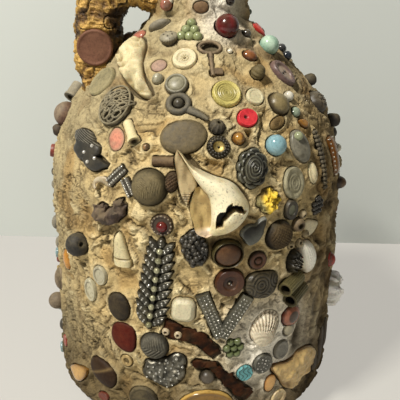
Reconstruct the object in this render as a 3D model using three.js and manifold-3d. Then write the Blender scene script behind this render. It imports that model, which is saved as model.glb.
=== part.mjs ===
import * as THREE from "three";
import { mergeVertices } from "three/addons/utils/BufferGeometryUtils.js";
import Module from "manifold-3d";

const wasm = await Module();
wasm.setup();

// Memory jug: a stoneware jug covered in putty and set with trinkets. Millimetres, +Z up.
// The origin is the centre of the flat foot, the front faces -Y and the handle is at -X.

// The thrown stoneware jug.
const FOOT_RADIUS = 80;
const FOOT_ROUND = 12;
const BODY_RADIUS = 88;
const WALL_TOP = 150;
const SHOULDER_BULGE = 56;
const NECK_FLARE = 16;
const NECK_ROOT = 252;
const NECK_RADIUS = 23;
const LIP_HEIGHT = 9;
const LIP_OVERHANG = 3;
const MOUTH_TOP = 297;
const WALL_THICKNESS = 7;
const FLOOR_THICKNESS = 9;
const JUG_SIDES = 32;
const SHOULDER_STEPS = 9;

// The strap handle, pulled from the neck over to the shoulder.
const HANDLE_TOP = 264;
const HANDLE_ARCH = 290;
const HANDLE_REACH = 74;
const HANDLE_ARCH_REACH = 64;
const HANDLE_ELBOW = 245;
const HANDLE_FOOT = 196;
const HANDLE_FOOT_REACH = 58;
const STRAP_WIDTH = 24;
const STRAP_THICKNESS = 15;

// The putty over the pot, and the thicker crust over the handle.
const COAT_THICKNESS = 8;
const COAT_TOP = 286;
const COAT_FOOT = 2.5;
const CRUST_WIDTH = 34;
const CRUST_THICKNESS = 28;

// How the trinkets sit: pressed this deep, with this gap round them.
const BED = 2.4;
const CLEARANCE = 0.3;
const EDGE = 0.6;

// Each trinket is placed by its turn, in degrees to the right of the front,
// and its rise, in percent of the way up the putty along its surface.
const domes = [
  { name: "glass_dome_button", turn: -10.4, rise: 73.4, radius: 6.6, height: 4.2, look: [0x6f7072, 0.2, 0] },
  { name: "grey_lined_dome", turn: -15.7, rise: 53.7, radius: 10.3, height: 8.5, look: [0x5b584b, 0.7, 0] },
  { name: "woven_dome_button", turn: 30.5, rise: 43.8, radius: 9, height: 7.5, look: [0x4a3a26, 0.7, 0] },
  { name: "rimmed_brown_dome", turn: 11.4, rise: 41.4, radius: 8.3, height: 4.5, look: [0x3a2a1a, 0.35, 0] },
  { name: "agate_dome", turn: 39, rise: 25, radius: 6.2, height: 4, look: [0x5a2618, 0.3, 0] },
  { name: "ribbed_dark_dome", turn: -13.7, rise: 21.1, radius: 8.8, height: 6.5, look: [0x3d3c37, 0.6, 0.2] },
  { name: "carved_dark_dome", turn: 73, rise: 66.4, radius: 7.8, height: 6, look: [0x4b463e, 0.7, 0] },
  { name: "left_knob", turn: -82, rise: 61, radius: 8.2, height: 8.5, look: [0x6d5a4b, 0.7, 0] },
  { name: "back_dome_button", turn: 118, rise: 43.6, radius: 10, height: 6, look: [0x4a3222, 0.4, 0] },
  { name: "back_pearl_dome", turn: 172, rise: 61.8, radius: 8.5, height: 5, look: [0xcfc4ae, 0.3, 0] },
];

const discs = [
  { name: "cream_ring_button", turn: -8.6, rise: 79.4, radius: 7.2, height: 2.6, rim: 4.6, dish: 0.9,
    look: [0xd6cbab, 0.5, 0] },
  { name: "khaki_disc", turn: -58, rise: 71.7, radius: 9.6, height: 2.2, rim: 8, dish: 0.5,
    look: [0x9a8e66, 0.7, 0] },
  { name: "yellow_disc", turn: 14, rise: 71.7, radius: 8.5, height: 3, rim: 6.4, dish: 0.6,
    look: [0xa3954a, 0.6, 0.2] },
  { name: "red_button", turn: 21.3, rise: 66.6, radius: 5.8, height: 2.6, rim: 4.6, dish: 0.5,
    look: [0xc3202c, 0.4, 0] },
  { name: "beaded_rosette", turn: 8.2, rise: 61.4, radius: 6.3, height: 3.6, rim: 4, dish: 1.6,
    look: [0x57503f, 0.5, 0.6] },
  { name: "brown_hole_button", turn: 12.5, rise: 35.4, radius: 8.8, height: 3.6, rim: 6, dish: 1.4,
    look: [0x33190f, 0.35, 0] },
  { name: "red_brown_chip", turn: -25.7, rise: 21.3, radius: 9.4, height: 2.6, rim: 8.2, dish: 0.4,
    look: [0x59190d, 0.6, 0] },
  { name: "back_rimmed_disc", turn: 150, rise: 27.5, radius: 11, height: 3, rim: 9, dish: 0.8,
    look: [0x7c6a3e, 0.6, 0.3] },
];

const balls = [
  { name: "red_marble", turn: 26.8, rise: 86.8, radius: 7.3, proud: 3.2, look: [0x4f0c12, 0.2, 0] },
  { name: "green_marble", turn: 62.6, rise: 81.3, radius: 6.2, proud: 2.6, look: [0x8fb09a, 0.25, 0] },
  { name: "blue_marble", turn: 30.6, rise: 60.9, radius: 6.1, proud: 2.6, look: [0x86a9b0, 0.25, 0] },
  { name: "left_ball", turn: -77, rise: 18, radius: 6, proud: 3, look: [0x77695a, 0.7, 0] },
  { name: "back_marble", turn: -140, rise: 55.7, radius: 7.8, proud: 3.4, look: [0x5d7a8c, 0.25, 0] },
];

const ovals = [
  { name: "grey_oval_stone", turn: -4.8, rise: 63.2, width: 19, length: 26, height: 3, spin: -78,
    look: [0x56524a, 0.6, 0] },
  { name: "grey_oval_disc", turn: 43, rise: 59.9, width: 14, length: 20, height: 3.4, spin: 8,
    look: [0x6b6455, 0.5, 0.1] },
  { name: "swirl_oval_button", turn: 36.5, rise: 53.5, width: 15, length: 19, height: 2.8, spin: 0,
    look: [0x7b7764, 0.4, 0] },
  { name: "framed_pearl_button", turn: 55, rise: 74.8, width: 14, length: 19, height: 3, spin: 15,
    look: [0x5c4c44, 0.4, 0.2] },
  { name: "dark_brown_oval", turn: -27.6, rise: 28.1, width: 15, length: 18, height: 3.4, spin: 12,
    look: [0x2b2118, 0.5, 0] },
  { name: "ochre_oval", turn: 5.4, rise: 7, width: 23, length: 33, height: 3.6, spin: 90,
    look: [0xa5803d, 0.4, 0] },
  { name: "mussel", turn: -36.7, rise: 10.7, width: 15, length: 21, height: 4, spin: 35,
    look: [0x2f2119, 0.4, 0] },
  { name: "white_stone", turn: 46.5, rise: 37.4, width: 13, length: 21, height: 5, spin: 10,
    look: [0xd8d3c6, 0.5, 0] },
  { name: "back_oval_stone", turn: -152, rise: 29.5, width: 17, length: 24, height: 4.5, spin: -40,
    look: [0x8a7c66, 0.6, 0] },
];

const fans = [
  { name: "cockle_shell", turn: 27, rise: 24.3, width: 20, length: 22, height: 6, ribs: 12, umbo: 6,
    spin: -20, look: [0xd3c4ad, 0.6, 0] },
  { name: "ochre_shell", turn: 46.5, rise: 11, width: 23, length: 25, height: 5.5, ribs: 9, umbo: 7,
    spin: 30, look: [0xa8854f, 0.6, 0] },
  { name: "back_scallop", turn: 168, rise: 45.2, width: 28, length: 27, height: 6, ribs: 11, umbo: 8,
    spin: 10, look: [0xc9a98a, 0.6, 0] },
];

const roses = [
  { name: "rose_brooch", turn: 20, rise: 57.3, width: 18.5, length: 23, height: 7, petals: 7, spin: 0,
    look: [0x24231f, 0.4, 0.1] },
  { name: "white_shell_cluster", turn: 79, rise: 22, width: 17, length: 27, height: 11, petals: 6, spin: 5,
    look: [0xdad6cc, 0.6, 0] },
  { name: "back_flower", turn: -162, rise: 67.3, width: 19, length: 19, height: 6, petals: 8, spin: 0,
    look: [0x8c3a34, 0.5, 0] },
];

const pipes = [
  { name: "ivory_pipe_stem", turn: -26.2, rise: 63, radius: 3.6, bore: 1.9, length: 14.5, spin: -62,
    look: [0xcfbd93, 0.6, 0] },
  { name: "fluted_tube_upper", turn: 38.2, rise: 32.5, radius: 3.9, bore: 2.5, length: 15.5, spin: 32,
    look: [0x77714f, 0.4, 0.7] },
  { name: "fluted_tube_lower", turn: 41.2, rise: 29.8, radius: 3.9, bore: 2.5, length: 15.5, spin: 32,
    look: [0x716a4a, 0.4, 0.7] },
];

const BLACK_BEAD = { turn: -47.2, rise: 38.7, radius: 7.3, bore: 1.6, proud: 3.6 };
const MAUVE_CHIP = { along: 0.715, radius: 11.4, height: 2.6, rim: 9.7, dish: 0.4 };
const KEY = { turn: 8.4, rise: 79.8, length: 26, bowWidth: 13, bowHeight: 11, bowBar: 2.6, stem: 3.2,
  bit: 4.4, bitDepth: 4, tip: 1, height: 2.2 };
const OPENWORK = { turn: -38.2, rise: 67.6, radius: 10.8, height: 6.5, hole: 1.4, holes: 8, ring: 5.9 };
const COMB = { turn: -43.5, rise: 57.7, width: 27, length: 23, height: 4.2, spin: -12 };
const FRAGMENT = { turn: -37, rise: 75.9, width: 17, length: 38, height: 4.5, taper: 0.4, bevel: 1.2,
  spin: 37 };
const FERN = { turn: -13.6, rise: 34.2, length: 57, width: 23, height: 3, pairs: 9, spin: -9 };
const V_CLIP = { turn: 10.9, rise: 27.6, arm: 29, bar: 7.4, spread: 27, blunt: 5.5, height: 3, spin: -1 };
const BEAD_BROOCH = { turn: 0.3, rise: 42, bead: 3.1, rows: [1, 2, 3, 2], pitch: 5 };
const GREEN_BEADS = { turn: -7.8, rise: 86.4, bead: 2.9, rows: [1, 2, 3], pitch: 4.6 };
const FAN_BROOCH = { turn: -9.5, rise: 15, width: 26, length: 18, height: 3.2 };
const SWIRL_SQUARE = { turn: 26.4, rise: 34.1, width: 19.5, length: 16.5, corner: 4.5, height: 4.5,
  bevel: 1.2, spin: 8 };
const WHITE_SQUARE = { turn: -3.3, rise: 29.7, width: 13, length: 14.5, corner: 2.5, height: 4.5,
  bevel: 1.2, spin: -3 };
const WHELK = { turn: 4.4, rise: 52.4, radius: 16, length: 52, flat: 0.85, lift: 3.5, spin: 38 };

// Beads, chips and straps too small or too thin to lift out are one with the putty that holds them.
const smallPieces = [
  { turn: -37, rise: 91.2, width: 8, length: 8, height: 6 }, // red drop
  { turn: -43, rise: 86.9, width: 6.4, length: 14, height: 5, spin: -62 }, // grey pod
  { turn: -24, rise: 83.5, width: 11, length: 11, height: 6 }, // boot button
  { turn: -21, rise: 74.2, width: 7, length: 7, height: 5 }, // clear bead
  { turn: 37, rise: 79.9, width: 9, length: 8, height: 4, spin: -20 }, // amber bead
  { turn: 35, rise: 75.7, width: 9, length: 9, height: 6 }, // seed bead
  { turn: 83, rise: 85.6, width: 10, length: 11, height: 2.8 }, // red heart
  { turn: 93, rise: 79, width: 7, length: 7, height: 5 }, // black edge bead
  { turn: 82, rise: 77.6, width: 7, length: 7, height: 5 }, // black bead below it
  { turn: 28, rise: 70.8, width: 10.6, length: 10.6, height: 2.4 }, // cream disc
  { turn: 39.5, rise: 68.7, width: 14, length: 14, height: 6 }, // bronze half dome
  { turn: 91, rise: 70, width: 9, length: 9, height: 7 }, // upper edge bead
  { turn: 82, rise: 60.9, width: 10, length: 10, height: 7 }, // lower edge bead
  { turn: -8.1, rise: 69.6, width: 13, length: 12, height: 3 }, // gunmetal ring
  { turn: 8, rise: 65.1, width: 9, length: 9, height: 6 }, // melon bead
  { turn: 35, rise: 65.1, width: 6.4, length: 13, height: 2.8, spin: -66 }, // seed pod
  { turn: 16, rise: 62.8, width: 7, length: 7, height: 5 }, // gold brown bead
  { turn: -10.7, rise: 58.5, width: 6.4, length: 11.4, height: 4, spin: -78 }, // clay tube
  { turn: -80, rise: 57.8, width: 8, length: 8, height: 5 }, // dark bit
  { turn: 66, rise: 55.4, width: 8.4, length: 25, height: 4 }, // amber comb bar
  { turn: 55, rise: 56, width: 5, length: 30, height: 2.8 }, // bead chain
  { turn: 47, rise: 54.4, width: 6.4, length: 13.4, height: 3.8, spin: 4 }, // ivory bead
  { turn: -27, rise: 54.1, width: 5, length: 16, height: 2.8, spin: -45 }, // bright strip
  { turn: -34, rise: 52.7, width: 9, length: 12, height: 4, spin: 70 }, // shell curl
  { turn: 25.6, rise: 51.1, width: 14.5, length: 14.5, height: 5 }, // yellow flower
  { turn: -31, rise: 48.1, width: 14, length: 22, height: 4, spin: 80 }, // cinder crust
  { turn: 35, rise: 48.5, width: 9.6, length: 12.4, height: 3.2 }, // eye button
  { turn: 74, rise: 48.5, width: 9, length: 9, height: 6 }, // brown knob
  { turn: 50, rise: 47.5, width: 12, length: 12, height: 2.6 }, // bead net
  { turn: -11, rise: 46.8, width: 12.6, length: 12.6, height: 3.5 }, // garnet plate
  { turn: 38.8, rise: 45.1, width: 9, length: 9, height: 6 }, // ring bead
  { turn: 19.8, rise: 45.2, width: 14, length: 14, height: 4.6 }, // dark crystal
  { turn: 46, rise: 43.6, width: 13, length: 17, height: 2.4, spin: 80 }, // cream petal
  { turn: -25.5, rise: 40.2, width: 11, length: 18, height: 3 }, // bone shard
  { turn: 22.6, rise: 39, width: 10, length: 10, height: 4 }, // small brown button
  { turn: 38, rise: 37.4, width: 10.6, length: 15, height: 6.4 }, // black lump
  { turn: -38, rise: 33.5, width: 10.4, length: 12.6, height: 2.8, spin: 6 }, // upper pearl oval
  { turn: -58, rise: 32.8, width: 8.4, length: 13.6, height: 3, spin: 14 }, // amber shard
  { turn: 68, rise: 31.9, width: 7, length: 10.6, height: 5 }, // red bead
  { turn: -41, rise: 29.6, width: 9.4, length: 15.4, height: 2.8, spin: 10 }, // lower pearl oval
  { turn: -69, rise: 25.7, width: 10.6, length: 16.4, height: 5 }, // lump at the left
  { turn: -0.8, rise: 22.4, width: 7.5, length: 34, height: 2.4, spin: 60 }, // upper strap
  { turn: 38, rise: 22.1, width: 9, length: 9, height: 3.8 }, // clear dome
  { turn: 15, rise: 20.6, width: 13, length: 12, height: 2.6 }, // green seed beads
  { turn: 35, rise: 17.8, width: 11, length: 13, height: 2.6 }, // grey disc
  { turn: 27, rise: 15.9, width: 13.4, length: 13.4, height: 2.6 }, // sparkling disc
  { turn: 19.7, rise: 14.6, width: 10.4, length: 10.4, height: 2.6 }, // turquoise button
  { turn: 10.2, rise: 13.8, width: 6.5, length: 38, height: 2.4, spin: 46 }, // lower strap
  { turn: 5.6, rise: 14.6, width: 9, length: 9, height: 5 }, // dark bead
  { turn: 71, rise: 13, width: 6.4, length: 22, height: 2.6, spin: 2 }, // dark strip at the right
  { turn: 64, rise: 11.7, width: 6.4, length: 28, height: 2.6, spin: -4 }, // dark strip beside it
  { turn: 31, rise: 10.4, width: 9, length: 12, height: 2.4 }, // peach chip
  { turn: -18, rise: 8.1, width: 18, length: 18, height: 2.8 }, // dark disc
  { turn: -51.5, rise: 7.2, width: 13, length: 26, height: 2.6, spin: -65 }, // amber shard at the foot
  { turn: 35.2, rise: 6.4, width: 12, length: 11, height: 2.6 }, // ring shell
];

// The back, row by row from the foot up, each row spread between two turns: d dome, f flat disc, b bead,
// o oval, s shell, l long chip. A dot is a place that a larger piece takes.
const BACK = { firstTurn: 100, lastTurn: 260, firstRise: 6, riseStep: 10 };
const backRows = [
  "ofdbosfdb",
  "dbsofbld",
  "so.bdf.ob",
  "fdbolsdf",
  "..o.bdsbo",
  "bsfbodlf",
  "dflb.ob",
  "bfbob",
  "bb.",
];
const backKinds = {
  d: { width: 13, length: 13, height: 5 },
  f: { width: 14, length: 14, height: 2.8 },
  b: { width: 8, length: 8, height: 5.5 },
  o: { width: 10, length: 15, height: 4 },
  s: { width: 15, length: 13, height: 4 },
  l: { width: 7, length: 16, height: 3 },
};

const V2 = THREE.Vector2;

// A geometry as a closed solid, with its corners welded and empty triangles left out.
function solidOf(geometry) {
  const bare = geometry.clone();
  bare.deleteAttribute("normal");
  bare.deleteAttribute("uv");
  const welded = mergeVertices(bare, 1e-4);
  const kept = [];
  for (let i = 0; i < welded.index.count; i += 3) {
    const [a, b, c] = [0, 1, 2].map((k) => welded.index.getX(i + k));
    if (a !== b && b !== c && c !== a) {
      kept.push(a, b, c);
    }
  }
  return new wasm.Manifold(new wasm.Mesh({
    numProp: 3,
    vertProperties: new Float32Array(welded.attributes.position.array),
    triVerts: new Uint32Array(kept),
  }));
}

function geometryOf(solid) {
  const mesh = solid.getMesh();
  const geometry = new THREE.BufferGeometry();
  geometry.setAttribute("position", new THREE.BufferAttribute(new Float32Array(mesh.vertProperties), 3));
  geometry.setIndex(new THREE.BufferAttribute(new Uint32Array(mesh.triVerts), 1));
  geometry.computeVertexNormals();
  return geometry;
}

// An outline (or a half profile that starts and ends on the axis) moved outward by a gap.
function grown(points, gap, halfProfile = false) {
  const count = points.length;
  return points.map((point, i) => {
    let before = points[(i + count - 1) % count];
    let after = points[(i + 1) % count];
    if (halfProfile && i === 0) {
      before = new V2(-after.x, after.y);
    }
    if (halfProfile && i === count - 1) {
      after = new V2(-before.x, before.y);
    }
    const into = point.clone().sub(before).normalize();
    const out = after.clone().sub(point).normalize();
    const across = new V2(into.y + out.y, -into.x - out.x);
    return point.clone().addScaledVector(across, gap / (1 + into.dot(out)));
  });
}

// A profile of radius and height turned about the vertical axis.
function spun(points, sides) {
  const geometry = new THREE.LatheGeometry(points, sides);
  geometry.rotateX(Math.PI / 2);
  return geometry;
}

function sidesFor(radius) {
  return radius < 9 ? 12 : 16;
}

// A turned trinket and the socket that it leaves in the putty.
function turned(profile, sides) {
  return { body: spun(profile, sides), socket: spun(grown(profile, CLEARANCE, true), sides) };
}

// A flat trinket cut to an outline, and its socket.
function slab(outline, height, bevel, holes = []) {
  const shape = new THREE.Shape(outline);
  shape.holes = holes.map((hole) => new THREE.Path(hole));
  const body = new THREE.ExtrudeGeometry(shape, {
    depth: BED + height - 2 * bevel,
    bevelEnabled: bevel > 0,
    bevelThickness: bevel,
    bevelSize: bevel,
    bevelOffset: -bevel,
    bevelSegments: 1,
  });
  body.translate(0, 0, bevel - BED);
  const mouth = new THREE.Shape(grown(outline, CLEARANCE));
  const socket = new THREE.ExtrudeGeometry(mouth, { depth: BED + CLEARANCE + height, bevelEnabled: false });
  socket.translate(0, 0, -BED - CLEARANCE);
  return { body, socket };
}

// Both halves of a trinket stretched the same way.
function stretched({ body, socket }, x, y) {
  body.scale(x, y, 1);
  socket.scale(x, y, 1);
  return { body, socket };
}

// A closed ring of points at a distance that depends on the angle.
function ringOf(count, reach) {
  return Array.from({ length: count }, (_, i) => {
    const angle = (i / count) * 2 * Math.PI;
    const distance = reach(angle);
    return new V2(distance * Math.cos(angle), distance * Math.sin(angle));
  });
}

// Profiles of the turned trinkets, from the middle of the back to the middle of the face.
function domeProfile(radius, height) {
  const points = [new V2(0, -BED), new V2(radius, -BED)];
  for (let i = 0; i < 4; i++) {
    const angle = (i / 4) * (Math.PI / 2);
    points.push(new V2(radius * Math.cos(angle), EDGE + (height - EDGE) * Math.sin(angle)));
  }
  points.push(new V2(0, height));
  return points;
}

function discProfile(radius, height, rim, dish) {
  return [
    new V2(0, -BED),
    new V2(radius, -BED),
    new V2(radius, height - EDGE),
    new V2(radius - EDGE, height),
    new V2(rim, height),
    new V2(rim - EDGE, height - dish),
    new V2(0, height - dish),
  ];
}

function ballProfile(radius, middle) {
  const points = [new V2(0, middle - radius)];
  for (let i = 1; i < 7; i++) {
    const angle = (i / 7 - 0.5) * Math.PI;
    points.push(new V2(radius * Math.cos(angle), middle + radius * Math.sin(angle)));
  }
  points.push(new V2(0, middle + radius));
  return points;
}

// The jug's outside from foot to mouth, as radius and height, and the same line moved out or in.
function shoulderLine() {
  const curve = new THREE.CubicBezierCurve(
    new V2(BODY_RADIUS, WALL_TOP),
    new V2(BODY_RADIUS, WALL_TOP + SHOULDER_BULGE),
    new V2(NECK_RADIUS, NECK_ROOT - NECK_FLARE),
    new V2(NECK_RADIUS, NECK_ROOT),
  );
  return curve.getPoints(SHOULDER_STEPS);
}

function sideLine(gap) {
  const line = [
    new V2(FOOT_RADIUS, 0),
    new V2(BODY_RADIUS, FOOT_ROUND),
    ...shoulderLine(),
    new V2(NECK_RADIUS, MOUTH_TOP),
  ];
  return grown([new V2(0, 0), ...line, new V2(0, MOUTH_TOP)], gap, true).slice(1, -1);
}

// A side line cut off level at its two ends.
function trimmed(line, bottom, top) {
  const low = line.findIndex((point) => point.y > bottom);
  const under = line[low - 1];
  const start = under.clone().lerp(line[low], (bottom - under.y) / (line[low].y - under.y));
  return [start, ...line.slice(low, -1), new V2(line.at(-1).x, top)];
}

// A solid with everything inside a side line filled.
function filled(line) {
  return solidOf(spun([new V2(0, line[0].y), ...line, new V2(0, line.at(-1).y)], JUG_SIDES));
}

const coatLine = trimmed(sideLine(COAT_THICKNESS), COAT_FOOT, COAT_TOP);

// The place on the putty at a turn and a rise: a frame with X to the right, Y up the
// surface and Z out of it, turned by the spin.
function seatOn(turn, rise, spin = 0) {
  const lengths = coatLine.slice(1).map((point, i) => point.distanceTo(coatLine[i]));
  let left = (rise / 100) * lengths.reduce((sum, length) => sum + length, 0);
  let step = 0;
  while (left > lengths[step]) {
    left -= lengths[step];
    step += 1;
  }
  const point = coatLine[step].clone().lerp(coatLine[step + 1], left / lengths[step]);
  const slope = coatLine[step + 1].clone().sub(coatLine[step]).normalize();
  const angle = THREE.MathUtils.degToRad(turn);
  const right = new THREE.Vector3(Math.cos(angle), Math.sin(angle), 0);
  const away = new THREE.Vector3(Math.sin(angle), -Math.cos(angle), 0);
  const out = away.clone().multiplyScalar(slope.y).setZ(-slope.x);
  const up = out.clone().cross(right);
  const seat = new THREE.Matrix4().makeBasis(right, up, out);
  seat.setPosition(away.multiplyScalar(point.x).setZ(point.y));
  return seat.multiply(new THREE.Matrix4().makeRotationZ(THREE.MathUtils.degToRad(spin)));
}

const jug = new THREE.Group();
jug.name = "memory_jug";

function add(name, geometry, [color, roughness, metalness], seat = new THREE.Matrix4()) {
  const mesh = new THREE.Mesh(geometry, new THREE.MeshStandardMaterial({ color, roughness, metalness }));
  mesh.name = name;
  mesh.applyMatrix4(seat);
  jug.add(mesh);
}

// Every trinket on the pot leaves its socket here, to be cut from the putty at the end.
const sockets = [];

function press(name, { body, socket }, look, seat) {
  add(name, body, look, seat);
  sockets.push(solidOf(socket.applyMatrix4(seat)));
}

// The stoneware jug: outside up to the rolled lip, then down the bore and the inside.
const lipRadius = NECK_RADIUS + LIP_OVERHANG;
const jugOutside = [
  ...sideLine(0).slice(0, -1),
  new V2(NECK_RADIUS, MOUTH_TOP - LIP_HEIGHT),
  new V2(lipRadius, MOUTH_TOP - LIP_HEIGHT + LIP_OVERHANG),
  new V2(lipRadius, MOUTH_TOP - EDGE),
  new V2(lipRadius - EDGE, MOUTH_TOP),
];
const jugInside = trimmed(sideLine(-WALL_THICKNESS), FLOOR_THICKNESS, MOUTH_TOP).reverse();
add(
  "stoneware_jug",
  spun([new V2(0, 0), ...jugOutside, ...jugInside, new V2(0, FLOOR_THICKNESS)], JUG_SIDES),
  [0x6b5138, 0.5, 0],
);

// The strap handle and the crust round it share one path. Both have a rounded oblong section.
const handlePath = new THREE.CubicBezierCurve3(
  new THREE.Vector3(WALL_THICKNESS - NECK_RADIUS, 0, HANDLE_TOP),
  new THREE.Vector3(-HANDLE_ARCH_REACH, 0, HANDLE_ARCH),
  new THREE.Vector3(-HANDLE_REACH, 0, HANDLE_ELBOW),
  new THREE.Vector3(-HANDLE_FOOT_REACH, 0, HANDLE_FOOT),
);

function sweep(width, thickness) {
  const squarish = (value) => Math.sign(value) * Math.sqrt(Math.abs(value));
  const section = ringOf(12, () => 1).map(
    (point) => new V2((width / 2) * squarish(point.x), (thickness / 2) * squarish(point.y)),
  );
  const options = { steps: 12, extrudePath: handlePath, bevelEnabled: false };
  return solidOf(new THREE.ExtrudeGeometry(new THREE.Shape(section), options));
}

const bodyRoom = filled(sideLine(CLEARANCE));
const coatRoom = filled(grown(coatLine, CLEARANCE).map((point, i, all) => {
  return new V2(point.x, i === 0 || i === all.length - 1 ? coatLine[i].y : point.y);
}));
const strapRoom = sweep(STRAP_WIDTH + 2 * CLEARANCE, STRAP_THICKNESS + 2 * CLEARANCE);
add("jug_handle", geometryOf(sweep(STRAP_WIDTH, STRAP_THICKNESS).subtract(bodyRoom)), [0x6b5138, 0.5, 0]);

// The mauve chip lies flat against the front of the crust, where the handle comes down.
const chipPoint = handlePath.getPoint(MAUVE_CHIP.along);
const chipSeat = new THREE.Matrix4().makeRotationX(Math.PI / 2);
chipSeat.setPosition(chipPoint.x, -CRUST_WIDTH / 2, chipPoint.z);
const chipProfile = discProfile(MAUVE_CHIP.radius, MAUVE_CHIP.height, MAUVE_CHIP.rim, MAUVE_CHIP.dish);
const chip = turned(chipProfile, sidesFor(MAUVE_CHIP.radius));
add("mauve_chip", chip.body, [0x68483d, 0.6, 0], chipSeat);
const crust = sweep(CRUST_WIDTH, CRUST_THICKNESS)
  .subtract(strapRoom)
  .subtract(coatRoom)
  .subtract(bodyRoom)
  .subtract(solidOf(chip.socket.applyMatrix4(chipSeat)));
add("handle_coat", geometryOf(crust), [0x6e4f22, 0.8, 0.2]);

// Domed buttons and cabochons.
for (const { name, turn, rise, radius, height, look } of domes) {
  press(name, turned(domeProfile(radius, height), sidesFor(radius)), look, seatOn(turn, rise));
}

// Flat buttons, chips and discs with a raised rim.
for (const { name, turn, rise, radius, height, rim, dish, look } of discs) {
  press(name, turned(discProfile(radius, height, rim, dish), sidesFor(radius)), look, seatOn(turn, rise));
}

// Marbles and round beads, a little under half buried.
for (const { name, turn, rise, radius, proud, look } of balls) {
  press(name, turned(ballProfile(radius, proud), 12), look, seatOn(turn, rise));
}

// Oval stones, shells and buttons with a low domed face.
for (const { name, turn, rise, width, length, height, spin, look } of ovals) {
  const round = turned(domeProfile(width / 2, height), 14);
  press(name, stretched(round, 1, length / width), look, seatOn(turn, rise, spin));
}

// Ribbed bivalve shells: a dome whose top is drawn towards the hinge, with every other side lowered.
for (const { name, turn, rise, width, length, height, ribs, umbo, spin, look } of fans) {
  const round = turned(domeProfile(width / 2, height), 2 * ribs);
  const corners = round.body.attributes.position;
  for (let i = 0; i < corners.count; i++) {
    const [x, y, z] = [corners.getX(i), corners.getY(i), corners.getZ(i)];
    const share = Math.hypot(x, y) / (width / 2);
    const side = Math.round((Math.atan2(x, -y) * ribs) / Math.PI);
    if (z > 0) {
      corners.setXYZ(i, x, y - umbo * (1 - share), side % 2 ? z : z - EDGE * share);
    }
  }
  press(name, stretched(round, 1, length / width), look, seatOn(turn, rise, spin));
}

// Flower-shaped pieces: tiers of petals, each tier smaller, higher and turned by half a petal.
for (const { name, turn, rise, width, length, height, petals, spin, look } of roses) {
  const tier = (size, tall, shift) => {
    const reach = (angle) => (width / 2) * size * (0.93 + 0.07 * Math.cos(petals * (angle + shift)));
    return slab(ringOf(4 * petals, reach), tall, 0);
  };
  const base = tier(1, height * 0.5, 0);
  const body = solidOf(base.body)
    .add(solidOf(tier(0.72, height * 0.78, Math.PI / petals).body))
    .add(solidOf(tier(0.42, height, 0).body));
  const flower = { body: geometryOf(body), socket: base.socket };
  press(name, stretched(flower, 1, length / width), look, seatOn(turn, rise, spin));
}

// Hollow tubes lying along the surface with one side in the putty.
for (const { name, turn, rise, radius, bore, length, spin, look } of pipes) {
  const wall = [new V2(bore, -length / 2), new V2(radius, -length / 2), new V2(radius, length / 2)];
  const end = new V2(bore, length / 2);
  const body = spun([...wall, end, wall[0]], 14);
  const block = [new V2(0, -length / 2), ...wall.slice(1), new V2(0, length / 2)];
  const socket = spun(grown(block, CLEARANCE, true), 14);
  for (const geometry of [body, socket]) {
    geometry.rotateY(Math.PI / 2);
    geometry.translate(0, 0, radius - BED);
  }
  press(name, { body, socket }, look, seatOn(turn, rise, spin));
}

// The black bead, bored through from its face.
const beadBall = ballProfile(BLACK_BEAD.radius, BLACK_BEAD.proud);
const beadShell = beadBall.slice(1, -1);
const beadRing = [
  new V2(BLACK_BEAD.bore, beadShell[0].y),
  ...beadShell,
  new V2(BLACK_BEAD.bore, beadShell.at(-1).y),
  new V2(BLACK_BEAD.bore, beadShell[0].y),
];
press(
  "black_bead",
  { body: spun(beadRing, 12), socket: spun(grown(beadBall, CLEARANCE, true), 12) },
  [0x24262a, 0.35, 0],
  seatOn(BLACK_BEAD.turn, BLACK_BEAD.rise),
);

// The old key, with its oval bow uppermost and the bit to the right.
const keyFoot = -KEY.length / 2;
const bowMiddle = KEY.length / 2 - KEY.bowHeight / 2;
const bowRing = (inset) => ringOf(16, () => 1).map((point) => {
  return new V2(point.x * (KEY.bowWidth / 2 - inset), bowMiddle + point.y * (KEY.bowHeight / 2 - inset));
});
const stemOutline = [
  new V2(-KEY.stem / 2, keyFoot),
  new V2(KEY.stem / 2, keyFoot),
  new V2(KEY.stem / 2, keyFoot + KEY.tip),
  new V2(KEY.stem / 2 + KEY.bit, keyFoot + KEY.tip),
  new V2(KEY.stem / 2 + KEY.bit, keyFoot + KEY.tip + KEY.bitDepth),
  new V2(KEY.stem / 2, keyFoot + KEY.tip + KEY.bitDepth),
  new V2(KEY.stem / 2, bowMiddle - KEY.bowHeight / 2 + KEY.bowBar / 2),
  new V2(-KEY.stem / 2, bowMiddle - KEY.bowHeight / 2 + KEY.bowBar / 2),
];
const keyBow = slab(bowRing(0), KEY.height, 0, [bowRing(KEY.bowBar)]);
const keyStem = slab(stemOutline, KEY.height, 0);
press(
  "old_key",
  {
    body: geometryOf(solidOf(keyBow.body).add(solidOf(keyStem.body))),
    socket: geometryOf(solidOf(keyBow.socket).add(solidOf(keyStem.socket))),
  },
  [0x6e5a46, 0.7, 0.5],
  seatOn(KEY.turn, KEY.rise),
);

// The openwork button: a dome pierced by a ring of holes and one in the middle.
const openworkBlank = turned(domeProfile(OPENWORK.radius, OPENWORK.height), 16);
let openwork = solidOf(openworkBlank.body);
for (const { x, y } of [new V2(0, 0), ...ringOf(OPENWORK.holes, () => OPENWORK.ring)]) {
  const drill = new THREE.CylinderGeometry(OPENWORK.hole, OPENWORK.hole, 4 * OPENWORK.height, 6);
  drill.rotateX(Math.PI / 2);
  drill.translate(x, y, 0);
  openwork = openwork.subtract(solidOf(drill));
}
press(
  "openwork_button",
  { body: geometryOf(openwork), socket: openworkBlank.socket },
  [0x3a352c, 0.6, 0.5],
  seatOn(OPENWORK.turn, OPENWORK.rise),
);

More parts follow.
